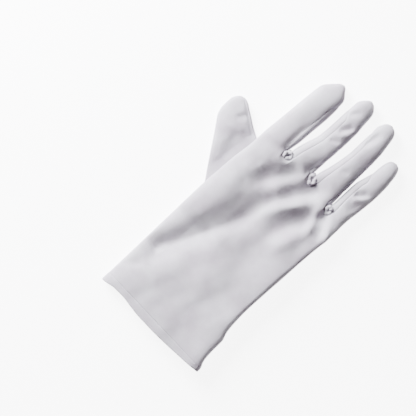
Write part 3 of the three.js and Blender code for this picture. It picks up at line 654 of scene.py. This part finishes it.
def mesh_object(name, points, quads, uv, wall=0.0):
    """A smooth mesh object of points in glove millimetres, with repeated corners of its quads
    dropped, a UV map in centimetres, and a wall inside it if asked for."""
    used, compact = np.unique(quads, return_inverse=True)
    compact = compact.reshape(quads.shape)
    faces = []
    for quad in compact.tolist():
        corners = [v for i, v in enumerate(quad) if v != quad[i - 1]]
        if len(corners) > 2:
            faces.append(corners)
    mesh = bpy.data.meshes.new(name)
    mesh.from_pydata(((points[used] + ORIGIN) * MM).tolist(), [], faces)
    layer = mesh.uv_layers.new(name="UVMap")
    corner = np.empty(len(mesh.loops), dtype=np.int32)
    mesh.loops.foreach_get("vertex_index", corner)
    layer.data.foreach_set("uv", (uv[used][corner] / 10).astype(np.float32).ravel())
    mesh.shade_smooth()
    mesh.update()
    piece = bpy.data.objects.new(name, mesh)
    bpy.context.scene.collection.objects.link(piece)
    if wall:
        solid = piece.modifiers.new("wall", "SOLIDIFY")
        solid.thickness = wall
        solid.offset = -1
        solid.use_rim = True
    return piece


def trank_strips():
    """The fingers' strips in order round the hand, from the little finger's palm seam."""
    return [
        strip_of(3, "little", 42),
        strip_of(2, "back", 24),
        strip_of(1, "back", 24),
        strip_of(0, "index", 50),
        strip_of(1, "palm", 13),
        strip_of(2, "palm", 13),
    ]


def trank_surface():
    """The glove's main piece: one closed round of cloth over the hand that goes on up each finger.

    Returns its points, quads, a UV place for each point, and each point's distance to a seam."""
    strips = trank_strips()
    feet, over, show, shifts, gaps = [], [], [], [], []
    starts = []
    for i, strip in enumerate(strips):
        starts.append(sum(len(part) for part in feet))
        feet.append(strip["foot"])
        over.append(strip["over"])
        show.append(strip["show"])
        shifts.append(strip["shift"][0])
        gaps.append(strip["gap"][0])
        following = strips[(i + 1) % len(strips)]
        dip = BACK_DIP if i < 3 else PALM_DIP
        feet.append(web_feet(strip["foot"][-1], following["foot"][0], dip))
        over.append(np.full(WEB_COLUMNS - 1, i < 3))
        show.append(mix(strip["show"][-1], following["show"][0], WEB_SHARES))
        shifts.append(web_feet(strip["shift"][0, -1], following["shift"][0, 0], 0))
        gaps.append(np.zeros(WEB_COLUMNS - 1))
    feet, over = np.vstack(feet), np.concatenate(over)
    shifts, gaps = np.vstack(shifts), np.concatenate(gaps)
    hand = hand_grid(feet, over, np.concatenate(show)[None, :], shifts)
    rows, wide = hand.shape[:2]
    index = np.arange(rows * wide).reshape(rows, wide)
    quads = [quads_of(closed_round(index))]
    round_length = across_length(hand)
    points = [hand.reshape(-1, 3)]
    uv = [np.stack([round_length, hand[..., 1]], axis=-1).reshape(-1, 2)]
    to_crotch = (feet[None, :, 1] - hand[..., 1]) * CROTCH_NEARNESS
    seams = [np.hypot(np.broadcast_to(gaps, (rows, wide)), to_crotch).reshape(-1)]
    count = rows * wide
    for start, strip in zip(starts, strips):
        width = strip["points"].shape[1]
        body = (strip["points"] + strip["shift"])[1:]
        numbers = count + np.arange((len(body) - 1) * width).reshape(len(body) - 1, width)
        tip = np.full((1, width), count + numbers.size)
        quads.append(quads_of(np.vstack([index[-1:, start:start + width], numbers, tip])))
        points += [body[:-1].reshape(-1, 3), body[-1:, width // 2]]
        base = round_length[-1, start + width // 2]
        offset = strip["length"][1:] - strip["length"][1:, width // 2][:, None] + base
        place = np.stack([offset, body[..., 1]], axis=-1)
        uv += [place[:-1].reshape(-1, 2), place[-1:, width // 2]]
        seams += [strip["gap"][1:-1].reshape(-1), np.zeros(1)]
        count += numbers.size + 1
    return np.vstack(points), np.vstack(quads), np.vstack(uv), np.concatenate(seams)


def pierced(points, quads):
    """Cuts the thumb's oval hole in the palm: drops the faces inside it and draws the vertices
    on its rim out to the oval."""
    dx = (points[:, 0] - HOLE["x"]) / HOLE["half_width"]
    dy = (points[:, 1] - HOLE["y"]) / HOLE["half_length"]
    radius = np.hypot(dx, dy)
    under = points[:, 2] < LIFT + HOLE_ROOM
    inside = (radius < 1) & under
    drop = inside[quads].all(axis=1)
    rim = np.intersect1d(quads[drop].ravel(), quads[~drop].ravel())
    scale = 1 / np.maximum(radius[rim], 1e-6)
    points = points.copy()
    points[rim, 0] = HOLE["x"] + dx[rim] * HOLE["half_width"] * scale
    points[rim, 1] = HOLE["y"] + dy[rim] * HOLE["half_length"] * scale
    return points, quads[~drop]


def puckers(points, seam):
    """Small ripples beside the seams, where the thread draws the cloth in: waves along the hand
    that die away some millimetres from the seam and vanish on it."""
    x, y = points[:, 0], points[:, 1]
    near = np.exp(-seam / PUCKERS["reach"]) * (1 - np.exp(-((seam / PUCKERS["from"]) ** 2)))
    wave = np.sin(y * math.tau / PUCKERS["length"] + 1.3 * np.sin(y / 7.0 + x / 5))
    wander = ripple(x, y, **RIPPLES["puckers"])
    return near * (PUCKERS["height"] * wave + PUCKERS["wander"] * wander)


def add_socket(group, name, kind, way, default=None):
    socket = group.interface.new_socket(name=name, in_out=way, socket_type=kind)
    if default is not None:
        socket.default_value = default


def knit_group():
    """Node group: the fine knit's ribs and stitches, as a height and a shade."""
    if "fine knit" in bpy.data.node_groups:
        return bpy.data.node_groups["fine knit"]
    group = bpy.data.node_groups.new("fine knit", "ShaderNodeTree")
    add_socket(group, "Place", "NodeSocketVector", "INPUT")
    add_socket(group, "Ribs", "NodeSocketFloat", "INPUT", 14.0)
    add_socket(group, "Height", "NodeSocketFloat", "OUTPUT")
    add_socket(group, "Shade", "NodeSocketFloat", "OUTPUT")
    nodes, links = group.nodes, group.links
    given, put = nodes.new("NodeGroupInput"), nodes.new("NodeGroupOutput")
    scale = nodes.new("ShaderNodeVectorMath")
    scale.operation = "SCALE"
    links.new(given.outputs["Place"], scale.inputs[0])
    links.new(given.outputs["Ribs"], scale.inputs["Scale"])
    parts = nodes.new("ShaderNodeSeparateXYZ")
    links.new(scale.outputs[0], parts.inputs[0])

    def math_node(kind, a, b=None):
        node = nodes.new("ShaderNodeMath")
        node.operation = kind
        for socket, value in zip(node.inputs, (a, b)):
            if value is None:
                continue
            if isinstance(value, (int, float)):
                socket.default_value = value
            else:
                links.new(value, socket)
        return node.outputs[0]

    rib = math_node("ABSOLUTE", math_node("SINE", math_node("MULTIPLY", parts.outputs[0], math.pi)))
    slope = math_node("MULTIPLY", math_node("PINGPONG", parts.outputs[0], 0.5), 1.2)
    course = math_node("ADD", math_node("MULTIPLY", parts.outputs[1], 1.3), slope)
    loop = math_node("SINE", math_node("MULTIPLY", course, math.tau))
    height = math_node("ADD", rib, math_node("MULTIPLY", loop, 0.3))
    links.new(height, put.inputs["Height"])
    links.new(math_node("MULTIPLY_ADD", height, 0.5), put.inputs["Shade"])
    return group


def cloud_group():
    """Node group: soft uneven patches at two scales, as a value around a half."""
    if "soft patches" in bpy.data.node_groups:
        return bpy.data.node_groups["soft patches"]
    group = bpy.data.node_groups.new("soft patches", "ShaderNodeTree")
    add_socket(group, "Place", "NodeSocketVector", "INPUT")
    add_socket(group, "Size", "NodeSocketFloat", "INPUT", 40.0)
    add_socket(group, "Value", "NodeSocketFloat", "OUTPUT")
    nodes, links = group.nodes, group.links
    given, put = nodes.new("NodeGroupInput"), nodes.new("NodeGroupOutput")
    noise = nodes.new("ShaderNodeTexNoise")
    noise.inputs["Detail"].default_value = 3.0
    noise.inputs["Roughness"].default_value = 0.55
    links.new(given.outputs["Place"], noise.inputs["Vector"])
    links.new(given.outputs["Size"], noise.inputs["Scale"])
    links.new(noise.outputs["Fac"], put.inputs["Value"])
    return group


def cloth_material(name, colour, shade, ribs, bump):
    """Matt stretch cloth: the knit and soft patches vary its colour, roughness and bump."""
    material = bpy.data.materials.new(name)
    material.use_nodes = True
    nodes, links = material.node_tree.nodes, material.node_tree.links
    surface = nodes["Principled BSDF"]
    surface.inputs["Sheen Weight"].default_value = 0.15
    surface.inputs["Sheen Roughness"].default_value = 0.5
    surface.inputs["Specular IOR Level"].default_value = 0.3
    where = nodes.new("ShaderNodeTexCoord")
    knit = nodes.new("ShaderNodeGroup")
    knit.node_tree = knit_group()
    knit.inputs["Ribs"].default_value = ribs
    links.new(where.outputs["UV"], knit.inputs["Place"])
    patches = nodes.new("ShaderNodeGroup")
    patches.node_tree = cloud_group()
    patches.inputs["Size"].default_value = 55.0
    links.new(where.outputs["Object"], patches.inputs["Place"])
    tint = nodes.new("ShaderNodeMix")
    tint.data_type = "RGBA"
    tint.inputs["A"].default_value = (*colour, 1)
    tint.inputs["B"].default_value = (*shade, 1)
    spread = nodes.new("ShaderNodeMapRange")
    spread.inputs["From Min"].default_value = 0.35
    spread.inputs["From Max"].default_value = 0.7
    links.new(patches.outputs["Value"], spread.inputs["Value"])
    links.new(spread.outputs["Result"], tint.inputs["Factor"])
    links.new(tint.outputs["Result"], surface.inputs["Base Color"])
    rough = nodes.new("ShaderNodeMapRange")
    rough.inputs["To Min"].default_value = 0.68
    rough.inputs["To Max"].default_value = 0.86
    links.new(knit.outputs["Shade"], rough.inputs["Value"])
    links.new(rough.outputs["Result"], surface.inputs["Roughness"])
    relief = nodes.new("ShaderNodeBump")
    relief.inputs["Strength"].default_value = bump
    relief.inputs["Distance"].default_value = 0.0002
    links.new(knit.outputs["Height"], relief.inputs["Height"])
    links.new(relief.outputs["Normal"], surface.inputs["Normal"])
    return material


def finish_piece(piece, material, nodes):
    """Gives a piece its material, the body it rides on and the solids that it stands for."""
    piece.data.materials.append(material)
    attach(piece, "root")
    if nodes:
        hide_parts(*nodes)
    return piece


def cloth_of(context):
    """The main cloth material, made once."""
    colours = context.scene.glove_colours
    if "white stretch nylon" in bpy.data.materials:
        return bpy.data.materials["white stretch nylon"]
    return cloth_material(
        "white stretch nylon", tuple(colours.cloth), tuple(colours.cloth_shade), 16.0, 0.35
    )


def gusset_surface(f):
    """A gusset: down the side of one finger, round the crotch and up the side of the next.

    On a finger its rows follow the finger's own section between the back's and the palm's seam.
    Round the crotch they run between the edges of the cloth there, and bulge out by the same
    amount in a direction that turns by half a circle."""
    def arm(finger, side):
        shares = FINGER_SHARES[FINGER_SHARES < FINGERS[finger]["seam_end"] - SEAM_STOP][:, None]
        back = seam_angle(finger, side, "back", shares)
        palm = seam_angle(finger, side, "palm", shares)
        angle = mix(back, palm, packed(GUSSET_COLUMNS + 1)[None, :])
        points = finger_point(finger, angle, shares)
        crisp = FINGERS[finger]["crisp"][side == "right"]
        length = across_length(points)
        wide = np.broadcast_to(shares, length.shape)
        return points + seam_shift(finger, points, wide, length, (crisp, 1))

    first, second = arm(f, "right")[::-1], arm(f + 1, "left")
    s = WEB_SHARES[:, None, None]
    tau = packed(GUSSET_COLUMNS + 1)[None, :, None]

    def bulge(row):
        chord = mix(row[:1], row[-1:], tau[0])
        return np.linalg.norm((row - chord)[:, :2], axis=1)

    top = web_feet(first[-1, 0], second[0, 0], BACK_DIP)[:, None, :]
    bottom = web_feet(first[-1, -1], second[0, -1], PALM_DIP)[:, None, :]
    size = mix(bulge(first[-1])[None, :, None], bulge(second[0])[None, :, None], s)
    turned = np.concatenate([np.cos(math.pi * s), np.sin(math.pi * s), np.zeros_like(s)], axis=-1)
    turn = mix(top, bottom, tau) + size * turned
    points = np.concatenate([first, turn, second])
    rows, columns = points.shape[:2]
    index = np.arange(rows * columns).reshape(rows, columns)
    along = line_length(points[:, columns // 2])
    uv = np.stack([across_length(points), np.broadcast_to(along[:, None], (rows, columns))], axis=-1)
    return points.reshape(-1, 3), quads_of(index), uv.reshape(-1, 2)


def gathers():
    """Rings of gathered cloth in the crotches, one for each gusset.

    A ring is a torus, (R + t cos v) round it and t sin v up. Its thickness t swells in uneven
    lobes, and it is centred on the dip of the cloth's edge between two fingers' seams."""
    turn = np.linspace(0, math.tau, GATHERS["rows"], endpoint=False)[:, None]
    tube = np.linspace(0, math.tau, GATHERS["columns"], endpoint=False)[None, :]
    rings = []
    for f in range(3):
        dice = np.random.default_rng(GATHERS["seed"] + f)
        lobe, wobble, tilt = dice.uniform(0, math.tau, 3)
        right = finger_point(f, seam_angle(f, "right", "back", 0), 0.0)
        left = finger_point(f + 1, seam_angle(f + 1, "left", "back", 0), 0.0)
        middle = (right + left) / 2 - np.array([0, GATHERS["dip"] * BACK_DIP, GATHERS["drop"]])
        reach = GATHERS["reach"] * (left[0] - right[0]) * (1 + 0.16 * np.sin(2 * turn + wobble))
        lobes = 0.55 * np.abs(np.sin(1.5 * turn + lobe)) + 0.45 * np.abs(np.sin(2.5 * turn + tilt))
        thick = GATHERS["thick"] + GATHERS["lobes"] * lobes + 0.1 * np.sin(3 * tube + 4 * turn)
        out = reach + thick * np.cos(tube)
        x = middle[0] + GATHERS["wide"] * out * np.cos(turn)
        y = middle[1] + GATHERS["long"] * out * np.sin(turn)
        z = middle[2] + GATHERS["high"] * thick * np.sin(tube) + GATHERS["tilt"] * np.sin(turn + tilt)
        rings.append(np.stack([x, y, z], axis=-1))
    return rings


def closed_quads(rows, columns, start):
    """Quads of a grid that closes on itself both ways, numbered from start."""
    index = start + np.arange(rows * columns).reshape(rows, columns)
    index = np.vstack([index, index[:1]])
    return quads_of(closed_round(index))


def stitches(line, up, length, gap, thick):
    """Stitches along a line of points: each a tube that rises from the cloth by its thickness
    times sin(pi s), less what it is sunk. Returns the points of each, as stitches by rows by sides."""
    along = line_length(line)
    starts = np.arange(gap, along[-1] - length, length + gap)
    share = np.linspace(0, 1, STITCH["rows"])
    at = starts[:, None] + share[None, :] * length
    centre = np.stack([np.interp(at, along, line[:, k]) for k in range(3)], axis=-1)
    rise = np.stack([np.interp(at, along, up[:, k]) for k in range(3)], axis=-1)
    ahead = centre[:, -1:] - centre[:, :1]
    ahead = ahead / np.linalg.norm(ahead, axis=-1, keepdims=True)
    side = np.cross(ahead, rise)
    round_off = np.sqrt(1 - (2 * share - 1) ** 2 * STITCH["taper"])[None, :, None, None]
    turn = np.linspace(0, math.tau, STITCH["sides"], endpoint=False)[None, None, :, None]
    ring = side[:, :, None, :] * np.cos(turn) + rise[:, :, None, :] * np.sin(turn)
    arch_up = rise * (thick * (np.sin(math.pi * share) - STITCH["sunk"]))[None, :, None]
    return (centre + arch_up)[:, :, None, :] + ring * round_off * thick / 2


def thumb_surface():
    """The thumb: rings from its neck in the palm's hole, out under the hand, to its tip.

    A ring is middle + side * sin(angle) across, with a height of the middle of floor and top
    plus half their difference times -cos(angle), flattened below."""
    angle = -np.linspace(0, math.tau, THUMB_COLUMNS, endpoint=False)[None, :]
    place = np.array([HOLE["x"], HOLE["y"]])
    neck_width, neck_length = HOLE["half_width"] - THUMB_NECK["gap"], HOLE["half_length"] - THUMB_NECK["gap"]
    neck_rows, rows, tip_rows = THUMB_ROWS
    last = THUMB_RINGS["at"][-1]
    at = np.concatenate([np.linspace(0, THUMB_TIP_START, rows), np.linspace(0.905, last, tip_rows)])
    low = place + THUMB_REACH * np.stack(
        [-follow(THUMB_RINGS, "low_out", at), follow(THUMB_RINGS, "low_along", at)], axis=-1)
    high = place + THUMB_REACH * np.stack(
        [-follow(THUMB_RINGS, "high_out", at), follow(THUMB_RINGS, "high_along", at)], axis=-1)
    floor = THUMB_HEIGHT * follow(THUMB_RINGS, "floor", at)
    top = THUMB_HEIGHT * follow(THUMB_RINGS, "top", at)
    close = np.sqrt(1 - np.clip((at - THUMB_TIP_START) / THUMB_TIP_ROUND, 0, 1) ** 2)
    middle_height = (floor + top) / 2
    spread = np.zeros(len(at))

    # The neck: an upright oval, then a ring turned outwards beneath the palm
    step = np.linspace(0, 1, neck_rows)[:, None]
    turn_to = THUMB_TURN
    turned_low = place + np.array([-turn_to["low_out"] * THUMB_REACH, turn_to["low_along"] * neck_length])
    turned_high = place + np.array([-turn_to["high_out"] * THUMB_REACH, turn_to["high_along"] * neck_length])
    neck_low, neck_high = place - (0, neck_length), place + (0, neck_length)
    lows = np.vstack([neck_low, mix(neck_low, turned_low, smooth(step)), mix(turned_low, low[0], step[1:])])
    highs = np.vstack([neck_high, mix(neck_high, turned_high, smooth(step)),
                       mix(turned_high, high[0], step[1:])])
    turn = step[:, 0]
    edge = [LIFT + THUMB_NECK["above_lift"]]
    floors = np.concatenate([edge, mix(THUMB_UNDER_HAND, 0, smooth(1.6 * turn)), 0 * turn[1:]])
    tops = np.concatenate([edge, np.full(2 * neck_rows - 1, THUMB_UNDER_HAND)])
    turned = turn_to["spread"] * neck_width
    spreads = np.concatenate([[neck_width], mix(neck_width, turned, turn), turned * (1 - smooth(turn[1:]))])
    lows, highs = np.vstack([lows, low]), np.vstack([highs, high])
    half_height = np.concatenate([(tops - floors) / 2, (top - floor) / 2 * close])
    centre_height = np.concatenate([(tops + floors) / 2, middle_height])
    spread = np.concatenate([spreads, spread])
    closing = np.concatenate([np.ones(len(tops)), close])[:, None, None]
    middle = ((lows + highs) / 2)[:, None, :]
    side = ((highs - lows) / 2)[:, None, :] * closing
    up = -np.cos(angle)
    shaped = np.where(up < 0, -np.abs(up) ** THUMB_ROUND["under"], np.abs(up) ** THUMB_ROUND["over"])
    plan = middle + side * np.sin(angle)[..., None]
    x = plan[..., 0] - spread[:, None] * up
    y = plan[..., 1]
    z = centre_height[:, None] + half_height[:, None] * shaped
    dents = fold_rise(x, y, THUMB_FOLDS) + ripple(x, y, **RIPPLES["thumb"])
    outside = smooth((THUMB_CLEAR["x"] - x) / THUMB_CLEAR["over"])
    share_up = np.clip(up, 0, 1)
    z = z + dents * outside * np.minimum(1, 1.5 * share_up**2)
    seam = np.abs(np.sin(angle) - THUMB_SEAM["at"]) * np.linalg.norm(side, axis=-1)
    groove = np.exp(-((seam / THUMB_SEAM["width"]) ** GROOVE["power"])) * (share_up > 0) * outside
    hollow = np.exp(-((seam / THUMB_SEAM["hollow_width"]) ** 2))
    z = z - THUMB_SEAM["depth"] * groove - THUMB_SEAM["hollow"] * hollow * (share_up > 0) * outside
    return np.stack([x, y, z], axis=-1)


def hem_line(across, over, y):
    """A line round the outside of the hem, and the direction out of the cloth along it."""
    x, z, show = hand_section(y, across, over)
    z = z + show * folds_at(x, y, over)
    line = np.stack([x, y, z], axis=-1)
    ahead = np.gradient(line, axis=0)
    out = np.stack([-ahead[:, 2], 0 * x, ahead[:, 0]], axis=-1)
    out = -out / np.maximum(np.linalg.norm(out, axis=1, keepdims=True), 1e-9)
    return line, out


class GloveSizes(bpy.types.PropertyGroup):
    """Sizes of the glove's finish."""
    wall: bpy.props.FloatProperty(
        name="Cloth", description="Thickness of the cloth", default=0.0008, unit="LENGTH")
    hem_wall: bpy.props.FloatProperty(
        name="Hem", description="Thickness of the turned hem", default=0.0014, unit="LENGTH")
    thread: bpy.props.FloatProperty(
        name="Thread", description="Thickness of the sewing thread", default=0.00028, unit="LENGTH")
    stitch: bpy.props.FloatProperty(
        name="Stitch", description="Length of one stitch", default=0.0019, unit="LENGTH")


class GloveColours(bpy.types.PropertyGroup):
    """Colours of the glove and its floor."""
    cloth: bpy.props.FloatVectorProperty(
        name="Cloth", description="Colour of the cloth", subtype="COLOR", size=3,
        default=(0.572, 0.546, 0.6))
    cloth_shade: bpy.props.FloatVectorProperty(
        name="Cloth shade", description="Colour of its darker patches", subtype="COLOR", size=3,
        default=(0.46, 0.412, 0.478))
    thread: bpy.props.FloatVectorProperty(
        name="Thread", description="Colour of the thread", subtype="COLOR", size=3,
        default=(0.76, 0.76, 0.79))
    floor: bpy.props.FloatVectorProperty(
        name="Floor", description="Colour of the floor", subtype="COLOR", size=3,
        default=(0.9, 0.9, 0.91))


class GLOVE_OT_trank(bpy.types.Operator):
    """Make the glove's main piece, which covers the hand and the fingers"""
    bl_idname = "glove.trank"
    bl_label = "Trank"

    def execute(self, context):
        points, quads, uv, seam = trank_surface()
        normals = vertex_normals(points, quads)
        points = points + normals * puckers(points, seam)[:, None]
        points[:, 2] = np.maximum(points[:, 2], 0.0)
        points, quads = pierced(points, quads)
        piece = mesh_object("trank", points, quads, uv, context.scene.glove_sizes.wall)
        finish_piece(piece, cloth_of(context), ("back_panel", "palm_panel"))
        return {"FINISHED"}


class GLOVE_OT_gussets(bpy.types.Operator):
    """Make the three gussets between the fingers"""
    bl_idname = "glove.gussets"
    bl_label = "Gussets"

    def execute(self, context):
        for f, pair in enumerate(("index_middle", "middle_ring", "ring_little")):
            points, quads, uv = gusset_surface(f)
            piece = mesh_object(f"gusset_{pair}", points, quads, uv, context.scene.glove_sizes.wall)
            finish_piece(piece, cloth_of(context), (f"fourchette_{pair}",))
        return {"FINISHED"}


class GLOVE_OT_thumb(bpy.types.Operator):
    """Make the thumb"""
    bl_idname = "glove.thumb"
    bl_label = "Thumb"

    def execute(self, context):
        points = thumb_surface()
        rings, columns = points.shape[:2]
        index = np.arange(rings * columns).reshape(rings, columns)
        index[-1] = index[-1, 0]
        flat = points.reshape(-1, 3).copy()
        flat[index[-1, 0]] = points[-1].mean(0)
        round_quads = quads_of(closed_round(index))[:, ::-1]
        along = line_length(points[:, columns // 4])
        up_thumb = np.broadcast_to(along[:, None], points.shape[:2])
        uv = np.stack([across_length(points), up_thumb], axis=-1)
        piece = mesh_object(
            "thumb_cloth", flat, round_quads, uv.reshape(-1, 2), context.scene.glove_sizes.wall
        )
        finish_piece(piece, cloth_of(context), ("thumb",))
        return {"FINISHED"}


class GLOVE_OT_hem(bpy.types.Operator):
    """Make the turned hem round the wrist opening"""
    bl_idname = "glove.hem"
    bl_label = "Hem"

    def execute(self, context):
        angle = np.linspace(0, math.tau, HEM_COLUMNS, endpoint=False)[None, :]
        across = np.cos(angle)
        over = np.sin(angle) >= 0
        front = -HEM_WIDTH * follow(CUFF_EDGE, "out", across)
        wall = context.scene.glove_sizes.hem_wall / MM
        profile = {name: np.array(column)[:, None] for name, column in HEM_PROFILE.items()}
        depth = profile["depth"] * wall / HEM_DEPTH
        y = mix(HEM_WIDTH + HEM_OVERLAP, front, profile["share"])
        x, z, show = hand_section(y, across, over, depth)
        z = z + show * folds_at(x, y, over)
        points = np.stack([x, y, np.maximum(z, 0.0)], axis=-1)
        quads = closed_quads(*points.shape[:2], 0)[:, ::-1]
        uv = np.stack([across_length(points), y + 0 * x], axis=-1).reshape(-1, 2)
        piece = mesh_object("hem", points.reshape(-1, 3), quads, uv)
        finish_piece(piece, cloth_of(context), ("cuff_hem",))
        return {"FINISHED"}


class GLOVE_OT_gathers(bpy.types.Operator):
    """Make the rings of gathered cloth in the crotches"""
    bl_idname = "glove.gathers"
    bl_label = "Gathers"

    def execute(self, context):
        rings = gathers()
        rows, columns = rings[0].shape[:2]
        points = np.vstack([ring.reshape(-1, 3) for ring in rings])
        quads = np.vstack([closed_quads(rows, columns, i * rows * columns) for i in range(len(rings))])
        piece = mesh_object("gathers", points, quads, points[:, :2])
        finish_piece(piece, cloth_of(context), ())
        return {"FINISHED"}


class GLOVE_OT_stitches(bpy.types.Operator):
    """Make the stitches that hold down the hem"""
    bl_idname = "glove.stitches"
    bl_label = "Stitches"

    def execute(self, context):
        sizes = context.scene.glove_sizes
        angle = np.linspace(0, math.tau, 900)
        across = np.cos(angle)
        over = np.sin(angle) >= 0
        y = np.full(angle.shape, HEM_WIDTH - STITCH["from_edge"])
        line, up = hem_line(across, over, y)
        gap = STITCH["gap"] * sizes.stitch / MM
        tubes = stitches(line, up, sizes.stitch / MM, gap, sizes.thread / MM)
        count, rows, sides = tubes.shape[:3]
        index = np.arange(count * rows * sides).reshape(count, rows, sides)
        index = np.concatenate([index, index[:, :, :1]], axis=2)
        quads = np.vstack([quads_of(one) for one in index])
        caps = np.concatenate([index[:, 0, [0, 1, 2, 3]], index[:, 0, [0, 3, 4, 5]],
                               index[:, -1, [3, 2, 1, 0]], index[:, -1, [5, 4, 3, 0]]])
        piece = mesh_object("hem_stitches", tubes.reshape(-1, 3), np.vstack([quads, caps]),
                            tubes.reshape(-1, 3)[:, :2])
        colours = context.scene.glove_colours
        thread = cloth_material("white thread", tuple(colours.thread), tuple(colours.cloth), 30.0, 0.2)
        finish_piece(piece, thread, ())
        return {"FINISHED"}


class GLOVE_OT_cuts(bpy.types.Operator):
    """An empty step that makes and changes nothing"""
    bl_idname = "glove.cuts"
    bl_label = "Cuts"

    def execute(self, context):
        return {"FINISHED"}


class GLOVE_OT_stage(bpy.types.Operator):
    """Make the floor, the light and the camera"""
    bl_idname = "glove.stage"
    bl_label = "Stage"

    def execute(self, context):
        colours = context.scene.glove_colours
        mesh = bpy.data.meshes.new("floor")
        corners = [(FLOOR_REACH * x, FLOOR_REACH * y, 0) for x, y in ((-1, -1), (1, -1), (1, 1), (-1, 1))]
        mesh.from_pydata(corners, [], [(0, 1, 2, 3)])
        floor = bpy.data.objects.new("floor", mesh)
        floor.location.z = -FLOOR_DROP
        context.scene.collection.objects.link(floor)
        material = bpy.data.materials.new("pale floor")
        material.use_nodes = True
        nodes, links = material.node_tree.nodes, material.node_tree.links
        seen, lighting = nodes["Principled BSDF"], nodes.new("ShaderNodeBsdfPrincipled")
        for surface, glow in ((seen, FLOOR_GLOW["seen"]), (lighting, FLOOR_GLOW["lighting"])):
            surface.inputs["Roughness"].default_value = 0.9
            surface.inputs["Emission Color"].default_value = (1, 1, 1, 1)
            surface.inputs["Emission Strength"].default_value = glow
            surface.inputs["Specular IOR Level"].default_value = 0.1
        where = nodes.new("ShaderNodeTexCoord")
        patches = nodes.new("ShaderNodeGroup")
        patches.node_tree = cloud_group()
        patches.inputs["Size"].default_value = 3.0
        links.new(where.outputs["Object"], patches.inputs["Place"])
        tint = nodes.new("ShaderNodeMix")
        tint.data_type = "RGBA"
        tint.inputs["A"].default_value = (*colours.floor, 1)
        tint.inputs["B"].default_value = (*(0.98 * part for part in colours.floor), 1)
        links.new(patches.outputs["Value"], tint.inputs["Factor"])
        # The floor is overexposed to the eye, and lights the glove less than it shows
        ray, either = nodes.new("ShaderNodeLightPath"), nodes.new("ShaderNodeMixShader")
        for surface, place in ((lighting, 1), (seen, 2)):
            links.new(tint.outputs["Result"], surface.inputs["Base Color"])
            links.new(surface.outputs["BSDF"], either.inputs[place])
        links.new(ray.outputs["Is Camera Ray"], either.inputs["Fac"])
        links.new(either.outputs["Shader"], nodes["Material Output"].inputs["Surface"])
        mesh.materials.append(material)
        add_light(context, "window", **LAMP)
        world = bpy.data.worlds.new("soft room")
        context.scene.world = world
        world.use_nodes = True
        backdrop = world.node_tree.nodes["Background"]
        backdrop.inputs["Color"].default_value = ROOM["colour"]
        backdrop.inputs["Strength"].default_value = ROOM["strength"]
        add_camera(context)
        return {"FINISHED"}


def add_light(context, name, place, size, power, colour):
    """A square lamp that faces the glove's middle."""
    lamp = bpy.data.lights.new(name, "AREA")
    lamp.size = size
    lamp.energy = power
    lamp.color = colour
    light = bpy.data.objects.new(name, lamp)
    light.location = place
    aim = Vector((0, 0, 0)) - Vector(place)
    light.rotation_euler = aim.to_track_quat("-Z", "Y").to_euler()
    context.scene.collection.objects.link(light)


def add_camera(context):
    """A camera straight above, rolled so that the glove lies across the picture as in the photo."""
    right = Vector((math.sin(TURN), math.cos(TURN), 0))
    up = Vector((-math.cos(TURN), math.sin(TURN), 0))
    to_right = (PHOTO_WIDTH / 2 - CUFF_PIXEL[0]) * PIXEL
    to_top = (CUFF_PIXEL[1] - PHOTO_WIDTH / 2) * PIXEL
    middle = right * to_right + up * to_top + Vector(ORIGIN)
    data = bpy.data.cameras.new("camera")
    data.sensor_width = 36
    data.lens = data.sensor_width * CAMERA_HEIGHT / (PHOTO_WIDTH * PIXEL * MM)
    camera = bpy.data.objects.new("camera", data)
    pose = Matrix((right, up, Vector((0, 0, 1)))).transposed().to_4x4()
    pose.translation = Vector((middle.x * MM, middle.y * MM, CAMERA_HEIGHT))
    camera.matrix_world = pose
    context.scene.collection.objects.link(camera)
    context.scene.camera = camera


class GLOVE_PT_panel(bpy.types.Panel):
    """Lists the glove's pieces, sizes and colours"""
    bl_label = "White dress glove"
    bl_idname = "GLOVE_PT_panel"
    bl_space_type = "VIEW_3D"
    bl_region_type = "UI"
    bl_category = "Glove"

    def draw(self, context):
        layout = self.layout
        for group in (context.scene.glove_sizes, context.scene.glove_colours):
            for name in group.__annotations__:
                layout.prop(group, name)
        for operator in OPERATORS:
            layout.operator(operator.bl_idname)


OPERATORS = (GLOVE_OT_trank, GLOVE_OT_gussets, GLOVE_OT_thumb, GLOVE_OT_hem, GLOVE_OT_gathers,
             GLOVE_OT_stitches, GLOVE_OT_cuts, GLOVE_OT_stage)
CLASSES = (GloveSizes, GloveColours, *OPERATORS, GLOVE_PT_panel)


def register():
    for item in CLASSES:
        bpy.utils.register_class(item)
    bpy.types.Scene.glove_sizes = bpy.props.PointerProperty(type=GloveSizes)
    bpy.types.Scene.glove_colours = bpy.props.PointerProperty(type=GloveColours)


def unregister():
    del bpy.types.Scene.glove_colours
    del bpy.types.Scene.glove_sizes
    for item in reversed(CLASSES):
        bpy.utils.unregister_class(item)


def main():
    register()
    bpy.ops.glove.trank()
    bpy.ops.glove.gussets()
    bpy.ops.glove.thumb()
    bpy.ops.glove.hem()
    bpy.ops.glove.gathers()
    bpy.ops.glove.stitches()
    bpy.ops.glove.cuts()
    bpy.ops.glove.stage()


if __name__ == "__main__":
    main()
